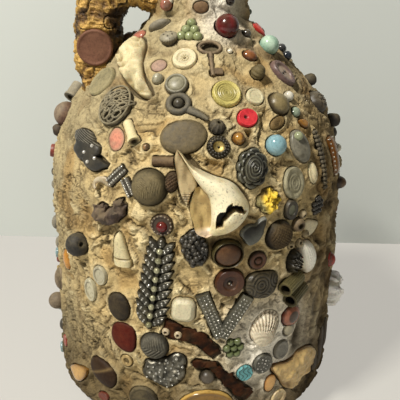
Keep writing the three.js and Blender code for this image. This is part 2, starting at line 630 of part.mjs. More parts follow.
// The black comb piece: a fan with a narrow pointed end at the lower right.
const combOutline = [
  new V2(-COMB.width * 0.5, COMB.length * 0.14),
  new V2(-COMB.width * 0.36, -COMB.length * 0.2),
  new V2(0, -COMB.length * 0.5),
  new V2(COMB.width * 0.5, -COMB.length * 0.3),
  new V2(COMB.width * 0.2, COMB.length * 0.16),
  new V2(-COMB.width * 0.06, COMB.length * 0.5),
  new V2(-COMB.width * 0.42, COMB.length * 0.46),
];
press(
  "black_comb",
  slab(combOutline, COMB.height, EDGE),
  [0x1d1d1c, 0.4, 0.1],
  seatOn(COMB.turn, COMB.rise, COMB.spin),
);

// The long cream shell fragment, wide at its upper end.
const fragmentOutline = ringOf(18, () => 1).map((point) => {
  const across = (FRAGMENT.width / 2) * (1 + FRAGMENT.taper * point.y);
  return new V2(across * point.x, (FRAGMENT.length / 2) * point.y);
});
press(
  "shell_fragment",
  slab(fragmentOutline, FRAGMENT.height, FRAGMENT.bevel),
  [0xd8c894, 0.6, 0],
  seatOn(FRAGMENT.turn, FRAGMENT.rise, FRAGMENT.spin),
);

// The fern brooch: pairs of pointed leaves up a stalk, shorter towards both ends.
const fernSide = [];
const leafPitch = FERN.length / (FERN.pairs + 0.6);
for (let i = 0; i < FERN.pairs; i++) {
  const foot = -FERN.length / 2 + i * leafPitch;
  const reach = (FERN.width / 2) * (0.62 + 0.38 * Math.sin((Math.PI * (i + 1)) / (FERN.pairs + 1)));
  fernSide.push(
    new V2(reach * 0.5, foot),
    new V2(reach, foot + leafPitch * 0.75),
    new V2(reach * 0.8, foot + leafPitch),
  );
}
const fernOutline = [
  ...fernSide,
  new V2(0, FERN.length / 2),
  ...fernSide.map((point) => new V2(-point.x, point.y)).reverse(),
];
press(
  "fern_brooch",
  slab(fernOutline, FERN.height, 0),
  [0x3b3a38, 0.4, 0.8],
  seatOn(FERN.turn, FERN.rise, FERN.spin),
);

// The V-shaped clip: two bars meeting in a point at the bottom.
const lean = THREE.MathUtils.degToRad(V_CLIP.spread);
const elbow = V_CLIP.bar / 2 / Math.sin(lean);
const armEnd = new V2(Math.sin(lean), Math.cos(lean)).multiplyScalar(V_CLIP.arm);
const armSide = new V2(Math.cos(lean), -Math.sin(lean)).multiplyScalar(V_CLIP.bar / 2);
const outer = armEnd.clone().add(armSide);
const inner = armEnd.clone().sub(armSide);
const bluntEnd = new V2(V_CLIP.blunt * Math.tan(lean), V_CLIP.blunt - elbow);
const clipOutline = [
  new V2(-bluntEnd.x, bluntEnd.y),
  bluntEnd,
  outer,
  inner,
  new V2(0, elbow),
  new V2(-inner.x, inner.y),
  new V2(-outer.x, outer.y),
].map((point) => new V2(point.x, point.y - armEnd.y / 2));
press(
  "v_clip",
  slab(clipOutline, V_CLIP.height, EDGE),
  [0x45433f, 0.4, 0.8],
  seatOn(V_CLIP.turn, V_CLIP.rise, V_CLIP.spin),
);

// Bead clusters: rows of round beads fused side by side, in a socket as wide as the widest row.
function cluster({ bead, rows, pitch }) {
  const lift = bead - BED;
  let whole = null;
  rows.forEach((count, row) => {
    for (let i = 0; i < count; i++) {
      const ball = new THREE.SphereGeometry(bead, 7, 4);
      ball.rotateX(Math.PI / 2);
      ball.translate((i - (count - 1) / 2) * pitch, ((rows.length - 1) / 2 - row) * pitch * 0.95, lift);
      whole = whole ? whole.add(solidOf(ball)) : solidOf(ball);
    }
  });
  const x = bead + ((Math.max(...rows) - 1) * pitch) / 2;
  const y = bead + ((rows.length - 1) * pitch * 0.95) / 2;
  const { socket } = slab([new V2(-x, -y), new V2(x, -y), new V2(x, y), new V2(-x, y)], bead, 0);
  return { body: geometryOf(whole), socket };
}
for (const [name, size, look] of [
  ["bead_brooch", BEAD_BROOCH, [0x201f1d, 0.35, 0.2]],
  ["green_bead_cluster", GREEN_BEADS, [0x7d8a58, 0.25, 0]],
]) {
  press(name, cluster(size), look, seatOn(size.turn, size.rise));
}

// The fan brooch: a shield with a scalloped top edge and a point below.
const shieldTop = Array.from({ length: 7 }, (_, i) => {
  const across = 0.5 - i / 6;
  return new V2(FAN_BROOCH.width * across, FAN_BROOCH.length * (i % 2 ? 0.5 : 0.42));
});
const shieldOutline = [
  new V2(-FAN_BROOCH.width * 0.4, -FAN_BROOCH.length * 0.2),
  new V2(0, -FAN_BROOCH.length * 0.5),
  new V2(FAN_BROOCH.width * 0.4, -FAN_BROOCH.length * 0.2),
  ...shieldTop,
];
press(
  "fan_brooch",
  slab(shieldOutline, FAN_BROOCH.height, 0),
  [0x3f3d3a, 0.4, 0.8],
  seatOn(FAN_BROOCH.turn, FAN_BROOCH.rise),
);

// Square pieces with cut corners.
for (const [name, { turn, rise, width, length, corner, height, bevel, spin }, look] of [
  ["swirl_square", SWIRL_SQUARE, [0x37322b, 0.5, 0.1]],
  ["white_square", WHITE_SQUARE, [0xdcd6c4, 0.4, 0]],
]) {
  const [x, y] = [width / 2, length / 2];
  const quarter = [new V2(x, y - corner), new V2(x - corner, y)];
  const half = [...quarter, ...quarter.map((point) => new V2(-point.x, point.y)).reverse()];
  const outline = [...half, ...half.map((point) => new V2(-point.x, -point.y))];
  press(name, slab(outline, height, bevel), look, seatOn(turn, rise, spin));
}

// The whelk: a spindle lying on its side with its point up to the left, open along one
// face and broken through near the wide end. Its underside is flattened by the putty.
function whelkForm(gap) {
  const points = [new V2(0, -WHELK.length / 2)];
  for (let i = 1; i < 10; i++) {
    const share = i / 10;
    const swell = Math.sin(Math.PI * share ** 0.55) ** 1.1;
    points.push(new V2(WHELK.radius * swell, WHELK.length * (share - 0.5)));
  }
  points.push(new V2(0, WHELK.length / 2));
  const form = spun(grown(points, gap, true), 16);
  form.rotateX(-Math.PI / 2);
  form.scale(1, 1, WHELK.flat);
  form.translate(0, 0, WHELK.lift);
  const depth = 4 * WHELK.radius;
  const under = new THREE.BoxGeometry(2 * WHELK.length, 2 * WHELK.length, depth);
  under.translate(0, 0, -BED - gap - depth / 2);
  return solidOf(form).subtract(solidOf(under));
}
function hollow(x, y, z, across, along, deep) {
  const ball = new THREE.SphereGeometry(1, 10, 8);
  ball.scale(across * WHELK.radius, along * WHELK.length, deep * WHELK.radius);
  ball.translate(x * WHELK.radius, y * WHELK.length, WHELK.lift + z * WHELK.radius);
  return solidOf(ball);
}
const whelk = whelkForm(0)
  .subtract(hollow(-0.42, -0.06, 0.72, 0.3, 0.3, 0.55))
  .subtract(hollow(0.36, -0.3, 0.7, 0.26, 0.09, 0.4));
press(
  "whelk_shell",
  { body: geometryOf(whelk), socket: geometryOf(whelkForm(CLEARANCE)) },
  [0xddd2b4, 0.5, 0],
  seatOn(WHELK.turn, WHELK.rise, WHELK.spin),
);

// A small piece rooted in the putty: a low oval dome with an upright edge, or, where it is narrow or
// flat, one that tapers from its foot.
function knob({ width, length, height }, seat) {
  const radius = width / 2;
  const plain = width < 10 || height < 3;
  const edge = plain ? [] : [new V2(radius, height * 0.5)];
  const top = radius * (plain ? 0.75 : 0.6);
  const profile = [new V2(0, -BED), new V2(radius, -BED), ...edge, new V2(top, height), new V2(0, height)];
  const form = spun(profile, width < 10 ? 6 : 7);
  form.scale(1, length / width, 1);
  return solidOf(form.applyMatrix4(seat));
}

const knobs = smallPieces.map((small) => knob(small, seatOn(small.turn, small.rise, small.spin)));
backRows.forEach((row, k) => {
  [...row].forEach((kind, j) => {
    if (kind !== ".") {
      const share = (j + 0.5) / row.length;
      const turn = THREE.MathUtils.lerp(BACK.firstTurn, BACK.lastTurn, share) + 2 * Math.sin(5 * k + 3 * j);
      const rise = BACK.firstRise + BACK.riseStep * k + 0.8 * Math.cos(4 * k + 2 * j);
      knobs.push(knob(backKinds[kind], seatOn(turn, rise, 40 * j + 25 * k)));
    }
  });
});

// The putty coat: one skin over wall, shoulder and neck, with the small pieces on it, opened for the
// handle and every larger trinket.
const coatInside = trimmed(sideLine(CLEARANCE), COAT_FOOT, COAT_TOP).reverse();
let coat = solidOf(spun([...coatLine, ...coatInside, coatLine[0]], JUG_SIDES)).subtract(strapRoom);
for (const each of knobs) {
  coat = coat.add(each);
}
for (const socket of sockets) {
  coat = coat.subtract(socket);
}
add("putty_coat", geometryOf(coat), [0xb7a27a, 0.9, 0]);

export default jug;
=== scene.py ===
import bpy
import numpy as np
from mathutils import Matrix


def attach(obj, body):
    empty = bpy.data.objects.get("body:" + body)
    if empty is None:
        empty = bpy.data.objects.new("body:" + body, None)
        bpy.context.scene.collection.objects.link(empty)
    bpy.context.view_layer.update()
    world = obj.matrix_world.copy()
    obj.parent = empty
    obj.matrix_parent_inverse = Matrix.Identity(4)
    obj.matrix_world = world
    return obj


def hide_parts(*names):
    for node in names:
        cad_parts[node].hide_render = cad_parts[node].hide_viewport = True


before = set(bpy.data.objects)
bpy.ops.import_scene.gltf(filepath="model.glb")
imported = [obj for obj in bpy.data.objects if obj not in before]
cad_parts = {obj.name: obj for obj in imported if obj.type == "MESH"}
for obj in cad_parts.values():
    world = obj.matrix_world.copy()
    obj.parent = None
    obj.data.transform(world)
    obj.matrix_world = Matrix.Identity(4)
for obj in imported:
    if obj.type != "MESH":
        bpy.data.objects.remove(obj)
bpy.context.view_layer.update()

# Stoneware jug: a hollow pot thrown on the wheel and salt glazed brown. Only its lip, its mouth and
# its flat foot show, because putty covers the rest. The strap handle is pulled from the same clay
# and pressed on at the neck and the shoulder. All sizes are in millimetres until the mesh is made.
FOOT_RADIUS, FOOT_ROUND = 80, 12
BODY_RADIUS, WALL_TOP, SHOULDER_BULGE = 88, 150, 56
NECK_RADIUS, NECK_ROOT, NECK_FLARE, MOUTH_TOP = 23, 252, 16, 297
WALL_THICKNESS, FLOOR_THICKNESS, MOUTH_ROUND = 7, 9, 3
LIP_CURVE = ((23.2, 287), (27.6, 289), (27.2, 297.5), (24, 297))
LIP_INSIDE = ((19, 297), (16.6, 295.5))
HANDLE_ENDS = ((-16, 0, 264), (-64, 0, 290), (-74, 0, 245), (-58, 0, 196))
STRAP_WIDTH, STRAP_THICKNESS = 24, 15
STONEWARE_BROWN, STONEWARE_DARK = "6b4a2e", "3a2618"


def paint(code):
    """A colour written as six hex digits, as linear red, green and blue."""
    value = np.array([int(code[i:i + 2], 16) for i in (0, 2, 4)]) / 255
    return np.where(value < 0.0405, value / 12.92, ((value + 0.055) / 1.055) ** 2.4)


def mixed(first, second, share):
    """From the first colour to the second, point by point, as the share goes from 0 to 1."""
    first, second = (paint(hue) if isinstance(hue, str) else hue for hue in (first, second))
    share = np.clip(share, 0, 1)[..., None]
    return first * (1 - share) + second * share


def step(value, low, high):
    """An S-shaped rise from 0 at low to 1 at high: 3t^2 - 2t^3."""
    t = np.clip((value - low) / (high - low), 0, 1)
    return t * t * (3 - 2 * t)


def drawn(box, seed):
    """A number from 0 to 1 drawn for each box of a cubic grid, always the same for a box and a seed."""
    number = (box * (73856093, 19349663, 83492791)).sum(-1) + seed * 7919
    number = ((number ^ (number >> 13)) * 1274126177) & 0x7FFFFFFF
    number = ((number ^ (number >> 11)) * 668265263) & 0x7FFFFFFF
    return (number % 65536) / 65535


def clouds(points, size, seed):
    """Value noise from 0 to 1: a number drawn for each corner of a cubic grid of this size,
    blended smoothly between the eight corners round a point."""
    cell = np.asarray(points, float) / size
    low = np.floor(cell).astype(np.int64)
    ease = step(cell - low, 0, 1)
    return sum(
        drawn(low + corner, seed) * np.where(corner, ease, 1 - ease).prod(-1) for corner in np.ndindex(2, 2, 2))


def bezier(ends, steps):
    """A cubic Bezier curve: four points weighted by (1-t)^3, 3t(1-t)^2, 3t^2(1-t) and t^3."""
    t = np.linspace(0, 1, steps)[:, None]
    a, b, c, d = np.array(ends, float)
    return a * (1 - t) ** 3 + b * 3 * t * (1 - t) ** 2 + c * 3 * t * t * (1 - t) + d * t ** 3


def beside(line, gap, pitch=1.0):
    """A line in section moved out by a gap: points at an even pitch, each carried at right angles."""
    run = np.append(0, np.hypot(*np.diff(line, axis=0).T).cumsum())
    even = np.linspace(0, run[-1], int(run[-1] / pitch))
    fine = np.stack([np.interp(even, run, line[:, k]) for k in (0, 1)], -1)
    slope = np.gradient(fine, axis=0)
    slope /= np.linalg.norm(slope, axis=1, keepdims=True)
    return fine + gap * np.stack([slope[:, 1], -slope[:, 0]], -1)


def skinned(rows, along, around, joined=False):
    """Triangles over loops of points, one loop after another. A loop closes on itself. The first
    and last loops are drawn to a point, or joined to each other. The faces are turned outward:
    the sum of the corner products over all of them, the volume, has to be positive."""
    count, sides = rows.shape[:2]
    spoke = np.arange(sides)
    after = np.roll(spoke, -1)
    low = np.arange(count if joined else count - 1)[:, None] * sides
    high = (low + sides) % (count * sides)
    a, b, c, d = ((loop + side).ravel() for loop, side in (
        (low, spoke), (low, after), (high, after), (high, spoke)))
    faces = [np.stack([a, b, c], -1), np.stack([a, c, d], -1)]
    points = rows.reshape(-1, 3)
    along, around = (np.broadcast_to(v, (count, sides)).ravel() for v in (along, around))
    if not joined:
        tip, last = np.full(sides, count * sides), (count - 1) * sides
        faces += [np.stack([tip, after, spoke], -1), np.stack([tip + 1, last + spoke, last + after], -1)]
        points = np.concatenate([points, rows[[0, -1]].mean(1)])
        along = np.append(along, [along[0], along[-1]])
        around = np.append(around, [0, 0])
    faces = np.concatenate(faces)
    p, q, r = points[faces].swapaxes(0, 1)
    if (np.cross(p, q) * r).sum() < 0:
        faces = faces[:, ::-1]
    return points, faces, along, around


def spun(profile, sides, joined=False):
    """A section of radius and height turned about the upright axis: (r cos a, r sin a, z)."""
    profile = np.array(profile, float)
    angle = np.arange(sides) / sides * 2 * np.pi
    radius, height = profile[:, :1], profile[:, 1:]
    rows = np.stack([radius * np.cos(angle), radius * np.sin(angle), height + 0 * angle], -1)
    return skinned(rows, np.linspace(0, 1, len(profile))[:, None], angle, joined)


def swept(path, width, thick, sides=10, up=(0, 0, 1), closed=False, square=2.0):
    """A rounded section carried along a path: across it by half the width times cos a, and towards
    up by half the thickness times sin a, both drawn out to a squarer form by a power."""
    path = np.array(path, float)
    tangent = np.roll(path, -1, 0) - np.roll(path, 1, 0) if closed else np.gradient(path, axis=0)
    across = np.cross(tangent, up)
    across /= np.linalg.norm(across, axis=1, keepdims=True)
    lift = np.cross(across, tangent)
    lift /= np.linalg.norm(lift, axis=1, keepdims=True)
    angle = np.arange(sides) / sides * 2 * np.pi
    cosine, sine = (np.sign(v) * np.abs(v) ** (2 / square) for v in (np.cos(angle), np.sin(angle)))
    width, thick = (np.broadcast_to(v, len(path))[:, None, None] / 2 for v in (width, thick))
    rows = path[:, None] + across[:, None] * cosine[:, None] * width + lift[:, None] * sine[:, None] * thick
    return skinned(rows, np.linspace(0, 1, len(path))[:, None], angle, closed)


def add_node(tree, kind, sockets=(), **settings):
    """A shader node with its settings made, and its sockets set to a value or linked to another."""
    made = tree.nodes.new(kind)
    for key, value in settings.items():
        setattr(made, key, value)
    for key, value in dict(sockets).items():
        if isinstance(value, bpy.types.NodeSocket):
            tree.links.new(value, made.inputs[key])
        else:
            made.inputs[key].default_value = value
    return made


# Every finish shares one wear and one painted shade: the colour wavers with a fine and a broad
# noise, hollows are painted darker as shade, and pale dust lies in the hollows and on what faces up.
DUST_HUE = "948560"
wear_and_shade = bpy.data.node_groups.new("wear_and_shade", "ShaderNodeTree")
for label in ("Hue", "Raised", "Grain", "Mottle", "Dust", "Rough", "Relief"):
    kind = "NodeSocketColor" if label == "Hue" else "NodeSocketFloat"
    wear_and_shade.interface.new_socket(label, in_out="INPUT", socket_type=kind)
for label, kind in (("Colour", "Color"), ("Roughness", "Float"), ("Normal", "Vector")):
    wear_and_shade.interface.new_socket(label, in_out="OUTPUT", socket_type="NodeSocket" + kind)


def sums(operation, first, second, clamp=False):
    """One sum of two values in the wear group."""
    sockets = {0: first, 1: second}
    return add_node(wear_and_shade, "ShaderNodeMath", sockets, operation=operation, use_clamp=clamp).outputs[0]


given = add_node(wear_and_shade, "NodeGroupInput").outputs
spot = add_node(wear_and_shade, "ShaderNodeTexCoord").outputs["Object"]
fine = add_node(wear_and_shade, "ShaderNodeTexNoise", {
    "Vector": spot, "Scale": given["Grain"], "Detail": 5.0, "Roughness": 0.65}).outputs["Fac"]
broad = add_node(wear_and_shade, "ShaderNodeTexNoise", {
    "Vector": spot, "Scale": sums("MULTIPLY", given["Grain"], 0.17), "Detail": 3.0}).outputs["Fac"]
specks = add_node(wear_and_shade, "ShaderNodeTexNoise", {
    "Vector": spot, "Scale": sums("MULTIPLY", given["Grain"], 2.6), "Detail": 2.0}).outputs["Fac"]
dirt = add_node(wear_and_shade, "ShaderNodeMapRange", {
    "Value": specks, "From Min": 0.54, "From Max": 0.7, "To Min": 1.0, "To Max": 0.72}).outputs[0]
stir = add_node(wear_and_shade, "ShaderNodeMapRange", {
    "Value": sums("ADD", sums("MULTIPLY", fine, 0.6), sums("MULTIPLY", broad, 0.4)),
    "From Min": 0.32, "From Max": 0.68, "To Min": -1.0, "To Max": 1.0}).outputs[0]
# The less raised a point, the darker its colour: painted shade in the hollows.
hollow = sums("SUBTRACT", 1.0, given["Raised"], clamp=True)
wavered = sums("ADD", sums("MULTIPLY", stir, given["Mottle"]), 1.0)
shade = sums("MULTIPLY", wavered, sums("SUBTRACT", 1.0, sums("MULTIPLY", hollow, 0.55)))
tinted = add_node(wear_and_shade, "ShaderNodeVectorMath", {
    0: given["Hue"], "Scale": sums("MULTIPLY", shade, dirt)}, operation="SCALE").outputs[0]
upward = add_node(wear_and_shade, "ShaderNodeSeparateXYZ", {
    0: add_node(wear_and_shade, "ShaderNodeNewGeometry").outputs["Normal"]}).outputs["Z"]
settled = sums("ADD", sums("MULTIPLY", upward, 0.3), sums("MULTIPLY", hollow, 0.4))
stirred = sums("ADD", sums("MULTIPLY", broad, 0.6), sums("MULTIPLY", fine, 0.4))
patchy = sums("MULTIPLY", sums("SUBTRACT", stirred, 0.44), 3.0)
dusty = sums("MULTIPLY", sums("ADD", settled, patchy, clamp=True), given["Dust"], clamp=True)
dusted = add_node(wear_and_shade, "ShaderNodeMix", {
    "Factor": dusty, "A": tinted, "B": (*paint(DUST_HUE), 1.0)}, data_type="RGBA")
rougher = sums("ADD", given["Rough"], sums("MULTIPLY", dusty, 0.5))
rougher = sums("ADD", rougher, sums("MULTIPLY", stir, 0.06), clamp=True)
bumped = add_node(wear_and_shade, "ShaderNodeBump", {"Height": fine, "Distance": given["Relief"], "Strength": 1.0})
add_node(wear_and_shade, "NodeGroupOutput", {
    "Colour": dusted.outputs["Result"], "Roughness": rougher, "Normal": bumped.outputs["Normal"]})


def finish(name, rough, grain, mottle, dust, relief, sockets=()):
    """A material that takes its colour and its hollows from the mesh, and its wear and its painted shade from
    the group.
    Grain is in waves a metre and relief in metres; sockets are set on the shader itself."""
    made = bpy.data.materials.new(name)
    made.use_nodes = True
    tree = made.node_tree
    hue = add_node(tree, "ShaderNodeAttribute", attribute_name="hue").outputs["Color"]
    raised = add_node(tree, "ShaderNodeAttribute", attribute_name="raised").outputs["Fac"]
    wear = add_node(tree, "ShaderNodeGroup", {
        "Hue": hue, "Raised": raised, "Grain": grain, "Mottle": mottle, "Dust": dust, "Rough": rough,
        "Relief": relief}, node_tree=wear_and_shade)
    surface = tree.nodes["Principled BSDF"]
    for label, socket in (("Colour", "Base Color"), ("Roughness", "Roughness"), ("Normal", "Normal")):
        tree.links.new(wear.outputs[label], surface.inputs[socket])
    for socket, value in dict(sockets).items():
        surface.inputs[socket].default_value = value
    return made


def part(shape, hue, material, raised=1.0):
    """One form of a piece with its colour, its material and how far each point is out of the hollows, which
    sets how much painted shade it gets.
    """
    points = shape[0]
    hue = paint(hue) if isinstance(hue, str) else hue
    return {
        "points": points, "faces": shape[1], "material": material,
        "hue": np.broadcast_to(hue, points.shape), "raised": np.broadcast_to(raised, len(points))}


def piece(name, parts, slot=None, node=None, sharp=50):
    """A mesh of all the parts, in metres, riding on the jug and standing for its node."""
    node = node or name
    starts = np.cumsum([0] + [len(p["points"]) for p in parts])
    points = np.concatenate([p["points"] for p in parts]) / 1000
    faces = np.concatenate([p["faces"] + start for p, start in zip(parts, starts)])
    hue = np.concatenate([p["hue"] for p in parts])
    mesh = bpy.data.meshes.new(name + "_piece")
    mesh.vertices.add(len(points))
    mesh.vertices.foreach_set("co", points.ravel().astype(np.float32))
    mesh.loops.add(faces.size)
    mesh.loops.foreach_set("vertex_index", faces.ravel().astype(np.int32))
    mesh.polygons.add(len(faces))
    mesh.polygons.foreach_set("loop_start", np.arange(0, faces.size, 3, dtype=np.int32))
    materials = list(dict.fromkeys(p["material"] for p in parts))
    for material in materials:
        mesh.materials.append(material)
    index = np.repeat([materials.index(p["material"]) for p in parts], [len(p["faces"]) for p in parts])
    mesh.polygons.foreach_set("material_index", index.astype(np.int32))
    mesh.polygons.foreach_set("use_smooth", np.ones(len(faces), bool))
    mesh.update(calc_edges=True)
    mesh.set_sharp_from_angle(angle=np.radians(sharp))
    colour = mesh.attributes.new("hue", "FLOAT_COLOR", "POINT")
    colour.data.foreach_set("color", np.insert(hue, 3, 1, 1).ravel().astype(np.float32))
    height = mesh.attributes.new("raised", "FLOAT", "POINT")
    height.data.foreach_set("value", np.concatenate([p["raised"] for p in parts]).astype(np.float32))
    made = bpy.data.objects.new(name + "_piece", mesh)
    bpy.context.scene.collection.objects.link(made)
    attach(made, "root")
    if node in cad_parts:
        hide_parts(node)
        slot or node
    return made


shoulder = bezier([
    (BODY_RADIUS, WALL_TOP), (BODY_RADIUS, WALL_TOP + SHOULDER_BULGE),
    (NECK_RADIUS, NECK_ROOT - NECK_FLARE), (NECK_RADIUS, NECK_ROOT)], 40)
side_line = np.concatenate([
    [(FOOT_RADIUS, 0), (BODY_RADIUS, FOOT_ROUND)], shoulder, [(NECK_RADIUS, MOUTH_TOP)]])
outside, inside = (beside(side_line, gap, 3.0) for gap in (0.0, -WALL_THICKNESS))
outside = outside[outside[:, 1] < LIP_CURVE[0][1]]
inside = inside[(inside[:, 1] > FLOOR_THICKNESS) & (inside[:, 1] < MOUTH_TOP - MOUTH_ROUND)]
jug_form = spun(np.concatenate([outside, bezier(LIP_CURVE, 8), LIP_INSIDE, inside[::-1]]), 96)
stoneware = finish(
    "stoneware", 0.35, 220, 0.3, 0.25, 0.0002, {"Coat Weight": 0.25, "Coat Roughness": 0.3})
jug_hue = mixed(STONEWARE_DARK, STONEWARE_BROWN, clouds(jug_form[0], 14, 1))
piece("stoneware_jug", [part(jug_form, jug_hue, stoneware)], "stoneware", sharp=180)

strap_path = bezier(HANDLE_ENDS, 60)[8:-6]
strap_form = swept(strap_path, STRAP_THICKNESS, STRAP_WIDTH, 20, up=(0, 1, 0), square=3)
piece("jug_handle", [part(strap_form, STONEWARE_BROWN, stoneware)], "stoneware")

# Marbles and round beads: toy marbles and glass or clay beads, each pressed a little under half way
# into the soft putty, which dried round it. Dust lies on their upper sides. A row has the name, the
# turn right of the front, the height, the radius, how far out the middle stands, and two colours.
MARBLES = (
    ("red_marble", 26.8, 246.8, 7.3, 3.2, "430a10", "64161c"),
    ("green_marble", 62.6, 234.9, 6.2, 2.6, "8fb09b", "b5cdb8"),
    ("blue_marble", 30.6, 186.9, 6.1, 2.6, "7ba3ad", "a2c2c8"),
    ("back_marble", -140, 172, 7.8, 3.4, "56778b", "86a2b0"),
    ("neck_red_drop", -37, 260, 3.8, 2.2, "6d1016", "9c2a2c"),
    ("clear_bead", -21, 220, 3.4, 1.8, "8d8a76", "b5b19c"),
    ("small_dark_bead", 47, 243, 2.8, 1.4, "26221f", "4a443c"),
    ("left_pearl", -33, 262, 1.6, 1.2, "d9d2c0", "f0ebdc"),
    ("tiny_pearl", 23, 235, 1.6, 0.9, "d9cfb4", "efe8d4"),
    ("edge_black_bead", 93, 230, 3.2, 2.2, "1b1f26", "2c333c"),
    ("lower_black_bead", 82, 227, 3.2, 2.0, "1b1f26", "2c333c"),
    ("pale_round_bead", 47.5, 209.6, 3.1, 1.7, "b8b2a0", "d9d4c4"),
    ("gold_brown_bead", 16, 192, 3.6, 1.8, "6a4418", "a5762e"),
    ("tiny_brown_bead", -18.6, 186.6, 1.9, 1.0, "4c3522", "7d5b38"),
    ("neck_dark_bead", 34.9, 263.4, 2.6, 1.4, "241f1c", "4a4038"),
)
CLAY_BALLS = (("left_ball", -77, 56.4, 6, 3, "6f6252", "8d7f6c"),)


def ball(radius, sides=28):
    """A ball: loops of radius times sin t at height radius times cos t."""
    t = np.linspace(0.08, np.pi - 0.08, sides // 2)
    return spun(np.stack([radius * np.sin(t), radius * np.cos(t)], -1), sides)


def turned(shape, axis="Z", degrees=0.0, at=(0, 0, 0)):
    """A shape turned about one of its axes, then carried to a place."""
    spin = np.array(Matrix.Rotation(np.radians(degrees), 3, axis))
    return (shape[0] @ spin.T + np.array(at), *shape[1:])


COAT_THICKNESS, COAT_FOOT, COAT_TOP = 8.0, 2.5, 286
coat_line = beside(side_line, COAT_THICKNESS)
coat_run = np.append(0, np.hypot(*np.diff(coat_line, axis=0).T).cumsum())
coat_slope = np.gradient(coat_line, axis=0)
coat_slope /= np.linalg.norm(coat_slope, axis=1, keepdims=True)


def run_at(height):
    """How far up the coat's line in section a height lies."""
    return np.interp(height, coat_line[:, 1], coat_run)


def radius_at(run):
    """The coat's radius that far up its line."""
    return np.interp(run, coat_run, coat_line[:, 0])


def on_coat(turn, run, out):
    """A point of the putty: turn in radians to the right of the front, run up the coat's line in
    section, and out at right angles to that line."""
    rise, fall = (np.interp(run, coat_run, coat_slope[:, k]) for k in (1, 0))
    radius = radius_at(run) + out * rise
    height = np.interp(run, coat_run, coat_line[:, 1]) - out * fall
    return np.stack([radius * np.sin(turn), -radius * np.cos(turn), height], -1)


def seated(points, turn, height, spin, wrap):
    """Points given right, up and out of a seat on the putty, carried there. A wrapped piece bends
    with the putty: right is measured round it and up along its line. A stiff one stays flat."""
    turn, spin = np.radians(turn), np.radians(spin)
    run = run_at(height)
    right = points[:, 0] * np.cos(spin) - points[:, 1] * np.sin(spin)
    up = points[:, 0] * np.sin(spin) + points[:, 1] * np.cos(spin)
    if wrap:
        return on_coat(turn + right / radius_at(run + up), run + up, points[:, 2]), right, up
    middle, ahead = on_coat(turn, run, 0.0), on_coat(turn, run, 1.0)
    away = ahead - middle
    across = np.array([np.cos(turn), np.sin(turn), 0])
    placed = middle + right[:, None] * across + up[:, None] * np.cross(away, across) + points[:, 2:] * away
    return placed, right, up


def band(value, rise, full, fade, gone):
    """A share from 0 up to the rise, through 1 between full and fade, back to 0 at gone."""
    return step(value, rise, full) * (1 - step(value, fade, gone))


FILM_HUE = "8f856c"
BED_SPOKES, BED_TOP = 36, 1.2
beds = []


def press(name, parts, turn, height, spin=0.0, wrap=False):
    """A piece set in the putty, under a film of dust on the left shoulder. Each part that goes under
    the surface leaves its outline as a bed: how far it reaches in every direction from its middle."""
    placed = []
    film = 0.4 * step(height, 176, 212) * band(-turn, -6, 30, 85, 100)
    for each in parts:
        points, right, up = seated(each["points"], turn, height, spin, wrap)
        placed.append({**each, "points": points, "hue": mixed(each["hue"], FILM_HUE, film)})
        low = each["points"][:, 2] < BED_TOP
        if low.sum() > 8:
            right, up = right[low], up[low]
            middle = (right.max() + right.min()) / 2, (up.max() + up.min()) / 2
            far = np.hypot(right - middle[0], up - middle[1])
            way = np.arctan2(up - middle[1], right - middle[0]) / (2 * np.pi) % 1
            reach = np.zeros(BED_SPOKES)
            np.maximum.at(reach, (way * BED_SPOKES).astype(int) % BED_SPOKES, far)
            known = np.flatnonzero(reach > 0.3)
            reach = np.interp(np.arange(BED_SPOKES), known, reach[known], period=BED_SPOKES)
            run = run_at(height) + middle[1]
            beds.append((np.radians(turn) + middle[0] / radius_at(run), run, reach))
    return piece(name, placed)


marble_glass = finish("marble_glass", 0.14, 300, 0.14, 0.16, 0.00004)
fired_clay = finish("fired_clay", 0.6, 500, 0.4, 0.35, 0.0003, {"Specular IOR Level": 0.3})
for table, material in ((MARBLES, marble_glass), (CLAY_BALLS, fired_clay)):
    for name, turn, height, radius, middle, hue, swirl in table:
        form = turned(ball(radius), at=(0, 0, middle))
        ribbon = clouds(form[0] * (1, 0.4, 1), radius * 0.7, len(name))
        press(name, [part(form, mixed(hue, swirl, step(ribbon, 0.5, 0.85)), material)], turn, height)

# Bored beads: a dark ball and smaller beads that were once strung, lying with the hole on show.
# The melon bead has ribs from hole to hole. A row has the seat, the radius, the bore, how far out
# the middle stands, two leans, the ribs and the colour.
BORED_BEADS = (
    ("black_bead", -46, 120.4, 7.3, 1.5, 3.6, -20, 82, 0, "2d2b28"),
    ("upper_edge_bead", 91, 210, 4.6, 1.5, 2.6, -70, 20, 0, "2a2724"),
    ("lower_edge_bead", 82, 187, 5.0, 1.6, 2.8, -62, 20, 0, "322c26"),
    ("ring_bead", 38.8, 139.5, 4.2, 1.7, 1.8, 5, -10, 0, "6d5c46"),
    ("little_ring_0", 41, 145, 2.6, 1.1, 1.2, 20, 10, 0, "a8987a"),
    ("little_ring_1", 43.4, 131.5, 2.4, 1.0, 1.2, -15, 25, 0, "9c8c6c"),
    ("little_ring_2", 36.4, 126.8, 2.2, 0.9, 1.0, 10, -30, 0, "a39474"),
    ("little_ring_3", 40.4, 126.4, 2.5, 1.0, 1.1, -20, 0, 0, "94866a"),
    ("melon_bead", 8, 198, 4.4, 1.1, 2.2, -25, 15, 10, "33302b"),
    ("seed_bead", 35, 223, 4.6, 0.9, 2.3, 55, 70, 12, "5e5234"),
    ("edge_dark_bit", -80, 178, 4.0, 1.5, 1.6, 30, 0, 0, "3c3128"),
)


def fluted(points, ribs, deep, where=1.0):
    """Points drawn in and out from the upright axis by a cosine for each rib, as far as where says."""
    swell = 1 + deep * np.cos(ribs * np.arctan2(points[:, 1], points[:, 0])) * where
    return points * np.stack([swell, swell, np.ones_like(swell)], -1)


